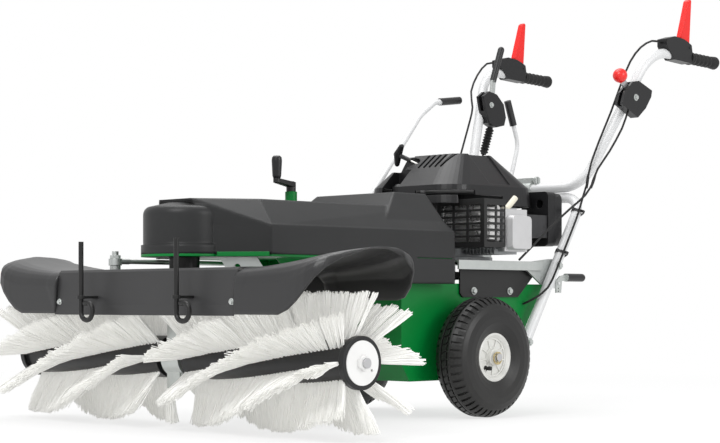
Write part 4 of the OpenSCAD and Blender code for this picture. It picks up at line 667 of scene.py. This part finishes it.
@dataclass
class BrushTufts:
    """Filaments of the roller brush, in rows of tufts that wind along each half."""

    axis: Point = mm(0, -800, 166)
    root_r: float = 0.051
    tip_r: float = 0.1635
    inner_x: float = 0.047
    outer_x: float = 0.575
    rows: int = 8
    tufts: int = 48
    strands: int = 25
    wind: float = -math.pi / 2
    end_lean: float = 0.0635
    end_power: float = 4.0
    inner_lean: float = 0.010
    inner_power: float = 6.0
    strand_r: float = 0.0013
    tip_taper: float = 0.85
    bundle_r: float = 0.0036
    spread: float = 1.7
    strand_swing: float = 0.045
    tuft_swing: float = 0.04
    strand_stray: tuple[float, float] = (-0.0055, 0.0045)
    tuft_stray: tuple[float, float] = (-0.004, 0.003)
    strand_short: float = 0.008
    tuft_short: float = 0.004
    crowd: float = 0.14
    wave_scale: float = 26.0
    wave_depth: float = 0.03
    wave_crest: float = 1.18
    seed: int = 11
    seed_step: int = 50
    finish: str = "nylon"

    def tree(self, material: bpy.types.Material) -> bpy.types.NodeTree:
        """Builds the node tree that grows the filaments of some rows of one half.

        Args:
            material: the filaments' finish.

        Returns:
            The tree.
        """
        counts = ("First row", "Row count", "Rows", "Tufts", "Strands", "Seed")
        sizes = ("Root radius", "Tip radius", "Inner", "Outer", "Wind", "End lean", "Inner lean",
                 "Strand radius", "Bundle radius", "Spread", "Side")
        names = [(label, "NodeSocketInt") for label in counts]
        names += [(label, "NodeSocketFloat") for label in sizes]
        names.append(("Centre", "NodeSocketVector"))
        t, gin, gout = open_geometry("brush filaments", names)
        v = {label: gin.outputs[label] for label, _ in names}
        count = t.math("MULTIPLY", t.math("MULTIPLY", v["Row count"], v["Tufts"]), v["Strands"])
        points = t.add("GeometryNodePoints", {"Count": count})
        index = t.add("GeometryNodeInputIndex").outputs[0]
        cell = t.math("FLOOR", t.math("DIVIDE", t.math("ADD", index, 0.5), v["Strands"]))
        row_here = t.math("FLOOR", t.math("DIVIDE", t.math("ADD", cell, 0.5), v["Tufts"]))
        row = t.math("ADD", row_here, v["First row"])
        tuft = t.math("FLOORED_MODULO", cell, v["Tufts"])

        def chance(low: float, high: float, step: int, of_cell: bool = False) -> bpy.types.NodeSocket:
            """Random value per strand, or per tuft.

            Args:
                low: smallest value.
                high: largest value.
                step: added to the seed.
                of_cell: one value for all strands of a tuft.

            Returns:
                The output socket.
            """
            ident = cell if of_cell else index
            node = t.add("FunctionNodeRandomValue", {2: low, 3: high}, data_type="FLOAT")
            t.tree.links.new(ident, node.inputs["ID"])
            t.tree.links.new(t.math("ADD", v["Seed"], float(step)), node.inputs["Seed"])
            return node.outputs[1]

        share = t.math("DIVIDE", t.math("ADD", tuft, 0.5), v["Tufts"])
        centre = t.add("ShaderNodeMapRange", {0: share, 3: v["Inner"], 4: v["Outer"]}).outputs[0]
        pitch = t.math("DIVIDE", 2 * math.pi, v["Rows"])
        angle = t.math("ADD", t.math("MULTIPLY", row, pitch), t.math("MULTIPLY", share, v["Wind"]))
        off = t.math("MULTIPLY", t.math("SQRT", chance(0.0, 1.0, 1)), v["Bundle radius"])
        round_turn = chance(0.0, 2 * math.pi, 2)
        along = t.math("MULTIPLY", off, t.math("COSINE", round_turn))
        across = t.math("MULTIPLY", off, t.math("SINE", round_turn))
        x = t.math("ADD", centre, along)
        root_turn = t.math("ADD", angle, t.math("DIVIDE", across, v["Root radius"]))
        fanned = t.math("DIVIDE", t.math("MULTIPLY", across, v["Spread"]), v["Tip radius"])
        loose = t.math("ADD", chance(-self.strand_swing, self.strand_swing, 3),
                       chance(-self.tuft_swing, self.tuft_swing, 4, True))
        tip_turn = t.math("ADD", t.math("ADD", angle, fanned), loose)
        root = t.combine(x, t.math("MULTIPLY", v["Root radius"], t.math("COSINE", root_turn)),
                         t.math("MULTIPLY", v["Root radius"], t.math("SINE", root_turn)))
        outward = t.math("MULTIPLY", t.math("POWER", share, self.end_power), v["End lean"])
        near_middle = t.math("POWER", t.math("SUBTRACT", 1.0, share), self.inner_power)
        inward = t.math("MULTIPLY", near_middle, v["Inner lean"])
        widened = t.math("MULTIPLY", along, t.math("SUBTRACT", v["Spread"], 1.0))
        stray = t.math("ADD", chance(*self.strand_stray, 5), chance(*self.tuft_stray, 7, True))
        lean = t.math("ADD", t.math("SUBTRACT", outward, inward), t.math("ADD", widened, stray))
        crowd = t.math("MULTIPLY", t.math("ABSOLUTE", lean), self.crowd)
        short = t.math("ADD", chance(0.0, self.strand_short, 6), chance(0.0, self.tuft_short, 8, True))
        reach = t.math("SUBTRACT", t.math("SUBTRACT", v["Tip radius"], crowd), short)
        tip = t.combine(t.math("ADD", x, lean), t.math("MULTIPLY", reach, t.math("COSINE", tip_turn)),
                        t.math("MULTIPLY", reach, t.math("SINE", tip_turn)))
        way = t.vector_math("SUBTRACT", tip, root)
        length = t.vector_math("LENGTH", way, output=1)
        placed = t.add("GeometryNodeSetPosition", {"Geometry": points.outputs[0], "Position": root})
        strand = t.add("GeometryNodeMeshCone", {
            "Vertices": 3, "Side Segments": 3, "Radius Top": self.tip_taper, "Radius Bottom": 1.0,
            "Depth": 1.0}, fill_type="NONE")
        turned = t.add("FunctionNodeAlignRotationToVector", {"Vector": way}, axis="Z")
        size = t.combine(v["Strand radius"], v["Strand radius"], length)
        copies = t.add("GeometryNodeInstanceOnPoints", {
            "Points": placed.outputs[0], "Instance": strand.outputs[0], "Rotation": turned.outputs[0],
            "Scale": size})
        whole = t.add("GeometryNodeRealizeInstances", {0: copies.outputs[0]})
        here = t.add("GeometryNodeInputPosition").outputs[0]
        split = t.add("ShaderNodeSeparateXYZ", {0: here})
        radial = t.vector_math("LENGTH", t.combine(0.0, split.outputs[1], split.outputs[2]), output=1)
        grown = t.add("ShaderNodeMapRange", {0: radial, 1: v["Root radius"], 2: v["Tip radius"]}).outputs[0]
        wave = t.noise(here, self.wave_scale, 1.0, output=1)
        sway = t.vector_math("SUBTRACT", wave, (0.5, 0.5, 0.5))
        bow = t.math("MULTIPLY", grown, t.math("SUBTRACT", self.wave_crest, grown))
        weight = t.math("MULTIPLY", bow, self.wave_depth)
        offset = t.vector_math("SCALE", sway)
        t.tree.links.new(weight, offset.node.inputs["Scale"])
        bent = t.add("GeometryNodeSetPosition", {"Geometry": whole.outputs[0], "Offset": offset})
        turn_about = t.add("ShaderNodeSeparateXYZ", {0: t.add("GeometryNodeInputPosition").outputs[0]})
        sided = t.combine(t.math("MULTIPLY", turn_about.outputs[0], v["Side"]),
                          t.math("MULTIPLY", turn_about.outputs[1], v["Side"]), turn_about.outputs[2])
        place = t.vector_math("ADD", sided, v["Centre"])
        moved = t.add("GeometryNodeSetPosition", {"Geometry": bent.outputs[0], "Position": place})
        smooth = t.add("GeometryNodeSetShadeSmooth", {"Geometry": moved.outputs[0]})
        dressed = t.add("GeometryNodeSetMaterial", {"Geometry": smooth.outputs[0], "Material": material})
        t.tree.links.new(dressed.outputs[0], gout.inputs[0])
        return t.tree

    def build(self, palette: Palette) -> list[bpy.types.Object]:
        """Grows both halves, each as two pieces.

        Args:
            palette: the materials.

        Returns:
            The pieces.
        """
        tree = self.tree(palette[self.finish])
        pieces: list[bpy.types.Object] = []
        for side, word in ((1.0, "left"), (-1.0, "right")):
            for part in range(2):
                source = PieceMaker.mesh("seed", [(0, 0, 0)], [], palette[self.finish])
                piece = PieceMaker.grow("tufts_%s_%d" % (word, part + 1), source, tree, {
                    "First row": part * self.rows // 2, "Row count": self.rows // 2, "Rows": self.rows,
                    "Tufts": self.tufts, "Strands": self.strands, "Root radius": self.root_r,
                    "Tip radius": self.tip_r, "Inner": self.inner_x, "Outer": self.outer_x,
                    "Wind": self.wind, "End lean": self.end_lean, "Inner lean": self.inner_lean,
                    "Strand radius": self.strand_r, "Bundle radius": self.bundle_r,
                    "Spread": self.spread, "Side": side, "Centre": self.axis,
                    "Seed": self.seed + part * self.seed_step + int(side)})
                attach(piece, "brush")
                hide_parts("bristles_" + word)
                pieces.append(piece)
        return pieces


@dataclass(frozen=True)
class Bolt:
    """One bolt head: its place, the way it faces and its radius in millimetres."""

    place: Point
    facing: Point
    radius: float


@dataclass(frozen=True)
class BoltSet:
    """Bolts of one finish on one body."""

    name: str
    body: str
    finish: str
    bolts: tuple[Bolt, ...]


@dataclass
class Fasteners:
    """Bolt heads with washers, in sets of one body and one finish."""

    sets: list[BoltSet] = field(default_factory=list)
    head_height: float = 0.7
    head_lift: float = 0.55
    washer_r: float = 1.45
    washer_height: float = 0.4

    def __post_init__(self) -> None:
        """Lists the heads that the photograph shows and their mirror images."""
        head = [Bolt(mm(s * x, -931.5, 297), (0, -1, -0.1), 5.5) for s in (1, -1) for x in (318, 344)]
        chassis = [Bolt(mm(s * 177.2, y, 326), (s, 0, 0), 7) for s in (1, -1) for y in (40, 186)]
        chassis += [Bolt(mm(s * 219.2, y, z), (s, 0, 0), 7.5)
                    for s in (1, -1) for y, z in ((346, 396), (218.5, 190))]
        handlebar = [Bolt(mm(305.6, 575.4, 864.9), (1, 0, 0), 6.5),
                     Bolt(mm(-229.9, 590.6, 887.6), (1, 0, 0), 6)]
        bowl = [Bolt(mm(167.2, 280.0, 467.0), (0.866, 0.5, 0.0), 6.5)]
        self.sets = [
            BoltSet("bolts_head", "head", "zinc_steel", tuple(head)),
            BoltSet("bolts_chassis", "chassis", "zinc_steel", tuple(chassis)),
            BoltSet("bolts_handlebar", "handlebar", "zinc_steel", tuple(handlebar)),
            BoltSet("bowl_nut", "chassis", "yellow_zinc", tuple(bowl)),
        ]

    def tree(self, material: bpy.types.Material) -> bpy.types.NodeTree:
        """Builds the tree that sets a head on each point.

        Args:
            material: the heads' finish.

        Returns:
            The tree.
        """
        t, gin, gout = open_geometry("bolt heads", [("Washer", "NodeSocketFloat")])
        facing = t.add("GeometryNodeInputNamedAttribute", {"Name": "facing"}, data_type="FLOAT_VECTOR")
        radius = t.add("GeometryNodeInputNamedAttribute", {"Name": "radius"}, data_type="FLOAT")
        hexagon = t.add("GeometryNodeMeshCylinder", {"Vertices": 6, "Radius": 1.0,
                                                     "Depth": self.head_height})
        lifted = t.add("GeometryNodeTransform", {"Geometry": hexagon.outputs[0],
                                                 "Translation": (0, 0, self.head_lift)})
        washer = t.add("GeometryNodeMeshCylinder", {"Vertices": 24, "Radius": gin.outputs["Washer"],
                                                    "Depth": self.washer_height})
        both = t.add("GeometryNodeJoinGeometry")
        for part in (lifted, washer):
            t.tree.links.new(part.outputs[0], both.inputs[0])
        turned = t.add("FunctionNodeAlignRotationToVector", {"Vector": facing.outputs[0]}, axis="Z")
        size = t.combine(*[radius.outputs[0]] * 3)
        copies = t.add("GeometryNodeInstanceOnPoints", {
            "Points": gin.outputs[0], "Instance": both.outputs[0], "Rotation": turned.outputs[0],
            "Scale": size})
        whole = t.add("GeometryNodeRealizeInstances", {0: copies.outputs[0]})
        dressed = t.add("GeometryNodeSetMaterial", {"Geometry": whole.outputs[0], "Material": material})
        t.tree.links.new(dressed.outputs[0], gout.inputs[0])
        return t.tree

    def build(self, palette: Palette) -> list[bpy.types.Object]:
        """Sets every head.

        Args:
            palette: the materials.

        Returns:
            One piece for each set.
        """
        pieces: list[bpy.types.Object] = []
        for group in self.sets:
            bolts, material = group.bolts, palette[group.finish]
            source = PieceMaker.mesh("spots", [b.place for b in bolts], [], material)
            facing = source.data.attributes.new("facing", "FLOAT_VECTOR", "POINT")
            facing.data.foreach_set("vector", [c for b in bolts for c in b.facing])
            radius = source.data.attributes.new("radius", "FLOAT", "POINT")
            radius.data.foreach_set("value", [b.radius / 1000 for b in bolts])
            piece = PieceMaker.grow(group.name, source, self.tree(material), {"Washer": self.washer_r})
            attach(piece, group.body)
            pieces.append(piece)
        return pieces


@dataclass
class ControlLines:
    """Sleeves that carry the control cables over the handlebar's tilt, and the starter rope.

    Sleeve steps are tenths of the way from the lower end to the upper one, rope steps are millimetres.
    """

    upper: tuple[Point, ...] = (mm(238, 446, 634), mm(-240, 446, 634),
                                mm(253, 454, 634), mm(-254, 456, 634))
    lower: tuple[Point, ...] = (mm(238, 444, 624), mm(-238, 444, 624),
                                mm(252, 450, 624), mm(-253, 452, 624))
    sleeve_r: float = 0.0042
    sleeve_neck: float = 0.75
    sleeve_steps: range = range(-14, 25)
    rope_r: float = 0.0022
    rope_start: Point = mm(-44, 50, 676)
    rope_steps: range = range(-30, 22, 3)
    pull: Point = (-0.888, -0.2049, 0.4098)

    def build(self, palette: Palette) -> list[bpy.types.Object]:
        """Makes the sleeves and the rope.

        Args:
            palette: the materials.

        Returns:
            The pieces.
        """
        pieces: list[bpy.types.Object] = []
        for i, (high, low) in enumerate(zip(self.upper, self.lower)):
            a, b = Vector(low), Vector(high)
            way = b - a
            path = [a + way * (k / 10) for k in self.sleeve_steps]
            last = len(path) - 1
            swell = 1 - self.sleeve_neck
            radii = [self.sleeve_r * (self.sleeve_neck + swell * math.sin(math.pi * k / last))
                     for k in range(len(path))]
            spots = [tuple(p) for p in path]
            piece = PieceMaker.tube("cable_sleeve_%d" % (i + 1), spots, radii, palette["rubber"])
            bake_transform(piece)
            pieces.append(piece)
        way = Vector(self.pull)
        path = [tuple(Vector(self.rope_start) + way * (d / 1000)) for d in self.rope_steps]
        rope = PieceMaker.tube("starter_rope", path, [self.rope_r] * len(path), palette["nylon"], 8)
        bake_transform(rope)
        pieces.append(rope)
        return pieces


@dataclass
class CableTies:
    """Straps that hold the control cables to the legs of the lower hoop."""

    low: Point = mm(205, 196, 155)
    high: Point = mm(205, 467, 588)
    tube_r: float = 0.0142
    width: float = 0.0075
    thick: float = 0.0018
    lock_thick: float = 0.0055
    heights: tuple[float, ...] = (0.43, 0.545)
    cable_x: float = 0.0215
    cable_r: float = 0.0031
    steps: int = 48

    def strap(self, name: str, centre: Vector, way: Vector, side: float,
              material: bpy.types.Material) -> bpy.types.Object:
        """Makes a flat strap round the tube and the cable beside it, with the lump of its lock.

        Args:
            name: the piece's name.
            centre: middle of the tube.
            way: direction of the tube.
            side: 1 for the left leg, -1 for the right one.
            material: its finish.

        Returns:
            The object.
        """
        across = Vector((side, 0.0, 0.0))
        other = way.cross(across).normalized()
        rings = ((0.0, self.tube_r), (self.cable_x, self.cable_r))
        points: list[Point] = []
        faces: list[Sequence[int]] = []
        for k in range(self.steps):
            turn = 2 * math.pi * k / self.steps
            out = across * math.cos(turn) + other * math.sin(turn)
            middle, radius = max(rings, key=lambda ring: ring[0] * math.cos(turn) + ring[1])
            foot = centre + across * middle + out * radius
            thick = self.lock_thick if abs(k - self.steps * 3 // 4) < 2 else self.thick
            for along, lift in ((-0.5, 0.0), (0.5, 0.0), (0.5, thick), (-0.5, thick)):
                points.append(tuple(foot + way * (along * self.width) + out * lift))
            a, b = 4 * k, 4 * ((k + 1) % self.steps)
            faces += [(a + i, a + (i + 1) % 4, b + (i + 1) % 4, b + i) for i in range(4)]
        return PieceMaker.mesh(name, points, faces, material, smooth=False)

    def build(self, palette: Palette) -> list[bpy.types.Object]:
        """Makes the straps of both legs.

        Args:
            palette: the materials.

        Returns:
            The pieces.
        """
        pieces: list[bpy.types.Object] = []
        for side, word in ((1.0, "left"), (-1.0, "right")):
            low = Vector((side * self.low[0], self.low[1], self.low[2]))
            high = Vector((side * self.high[0], self.high[1], self.high[2]))
            for i, height in enumerate(self.heights):
                centre = low.lerp(high, (height - low.z) / (high.z - low.z))
                piece = self.strap("tie_%s_%d" % (word, i + 1), centre, (high - low).normalized(), side,
                                   palette["black_plastic"])
                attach(piece, "chassis")
                pieces.append(piece)
        return pieces


@dataclass
class Valves:
    """Tyre valves in the wheel discs. The profile gives shares of the length and of the stem's radius."""

    foot: Point = mm(270, -24, 127)
    length: float = 0.021
    stem_r: float = 0.0048
    profile: tuple[tuple[float, float], ...] = (
        (0.0, 1.5), (0.12, 1.5), (0.2, 1.05), (0.55, 0.95), (0.56, 1.12), (0.94, 1.12), (1.0, 0.7))

    def build(self, palette: Palette) -> list[bpy.types.Object]:
        """Makes a valve with its cap for each wheel.

        Args:
            palette: the materials.

        Returns:
            The pieces.
        """
        x, y, z = self.foot
        pieces: list[bpy.types.Object] = []
        for side, word in ((1.0, "left"), (-1.0, "right")):
            path = [(side * (x + share * self.length), y, z) for share, _ in self.profile]
            radii = [self.stem_r * width for _, width in self.profile]
            piece = PieceMaker.tube("valve_" + word, path, radii, palette["rubber"])
            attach(piece, "wheel_" + word)
            pieces.append(piece)
        return pieces


@dataclass(frozen=True)
class Lamp:
    """A square soft lamp: its place, the point that it faces, its side in metres and its power in watts."""

    name: str
    place: Point
    aim: Point
    size: float
    power: float


LAMPS: tuple[Lamp, ...] = (
    Lamp("key", (1.2, -3.4, 3.4), (0.1, -0.4, 0.3), 2.2, 95.0),
    Lamp("top", (-0.8, 0.2, 3.6), (0.0, -0.1, 0.4), 2.6, 72.0),
    Lamp("side", (4.2, 0.8, 1.8), (0.2, 0.2, 0.5), 1.8, 56.0),
)


@dataclass
class Studio:
    """Camera at the photograph's angle, pale floor and soft light."""

    place: Point = mm(3280.8, -3547.8, 295.0)
    heading: float = 0.8114
    lens: float = 90.0
    sensor: float = 36.0
    far_clip: float = 200.0
    shift: tuple[float, float] = (0.0882, 0.1128)
    floor_half: float = 30.0
    floor_z: float = -0.002
    floor_grey: float = 0.8
    world_level: float = 0.72
    shadow_reach: tuple[float, float] = (1.2, 3.0)
    near_glow: float = 0.72

    def camera(self) -> bpy.types.Object:
        """Makes the level camera and returns it."""
        data = bpy.data.cameras.new("camera")
        data.lens = self.lens
        data.sensor_width = self.sensor
        data.shift_x, data.shift_y = self.shift
        data.clip_end = self.far_clip
        obj = bpy.data.objects.new("camera", data)
        obj.location = self.place
        obj.rotation_euler = (math.pi / 2, 0.0, self.heading)
        bpy.context.scene.collection.objects.link(obj)
        bpy.context.scene.camera = obj
        return obj

    def floor(self) -> bpy.types.Object:
        """Makes the pale floor, bright to the camera with a soft shadow, and returns it."""
        material = bpy.data.materials.new("pale_floor")
        material.use_nodes = True
        tree = Tree(material.node_tree)
        tree.tree.nodes.clear()
        rays = tree.add("ShaderNodeLightPath")
        seen = tree.math("MAXIMUM", rays.outputs["Is Camera Ray"], rays.outputs["Is Glossy Ray"])
        place = tree.add("ShaderNodeTexCoord").outputs["Object"]
        away = tree.vector_math("LENGTH", place, output=1)
        fade = tree.add("ShaderNodeMapRange", {0: away, 1: self.shadow_reach[0], 2: self.shadow_reach[1],
                                               3: self.near_glow, 4: 1.0})
        seen = tree.math("MULTIPLY", seen, fade.outputs[0])
        plain = tree.add("ShaderNodeBsdfDiffuse", {"Color": (*[self.floor_grey] * 3, 1.0)})
        glow = tree.add("ShaderNodeEmission", {"Color": (1.0, 1.0, 1.0, 1.0), "Strength": 1.0})
        mix = tree.add("ShaderNodeMixShader", {0: seen, 1: plain.outputs[0], 2: glow.outputs[0]})
        tree.add("ShaderNodeOutputMaterial", {0: mix.outputs[0]})
        h, z = self.floor_half, self.floor_z
        corners = [(-h, -h, z), (h, -h, z), (h, h, z), (-h, h, z)]
        obj = PieceMaker.mesh("floor", corners, [(0, 1, 2, 3)], material)
        return obj

    def lights(self) -> None:
        """Makes the soft lamps and the white surroundings."""
        world = bpy.data.worlds.new("surroundings")
        bpy.context.scene.world = world
        world.use_nodes = True
        tree = Tree(world.node_tree)
        tree.tree.nodes.clear()
        rays = tree.add("ShaderNodeLightPath")
        seen = tree.math("MAXIMUM", rays.outputs["Is Camera Ray"], rays.outputs["Is Transmission Ray"])
        level = tree.add("ShaderNodeMapRange", {0: seen, 3: self.world_level, 4: 1.0}).outputs[0]
        back = tree.add("ShaderNodeBackground", {"Color": (1.0, 1.0, 1.0, 1.0), "Strength": level})
        tree.add("ShaderNodeOutputWorld", {0: back.outputs[0]})
        for lamp in LAMPS:
            data = bpy.data.lights.new(lamp.name, "AREA")
            data.size = lamp.size
            data.energy = lamp.power
            obj = bpy.data.objects.new(lamp.name, data)
            obj.location = lamp.place
            obj.rotation_euler = (Vector(lamp.aim) - Vector(lamp.place)).to_track_quat("-Z", "Y").to_euler()
            bpy.context.scene.collection.objects.link(obj)

    def build(self) -> None:
        """Sets up the whole studio."""
        bpy.context.scene.view_settings.view_transform = "Standard"
        self.camera()
        self.floor()
        self.lights()


def main() -> None:
    """Builds the studio, the finishes and every piece in order."""
    logging.basicConfig(level=logging.INFO, format="%(message)s")
    Studio().build()
    palette = Palette()
    palette.dress_frame()
    for maker in (ControlLines(), BrushTufts(), Fasteners(), CableTies(), Valves()):
        for piece in maker.build(palette):
            log.info("%s: %d faces", piece.name, len(piece.data.polygons))


if __name__ == "__main__":
    main()
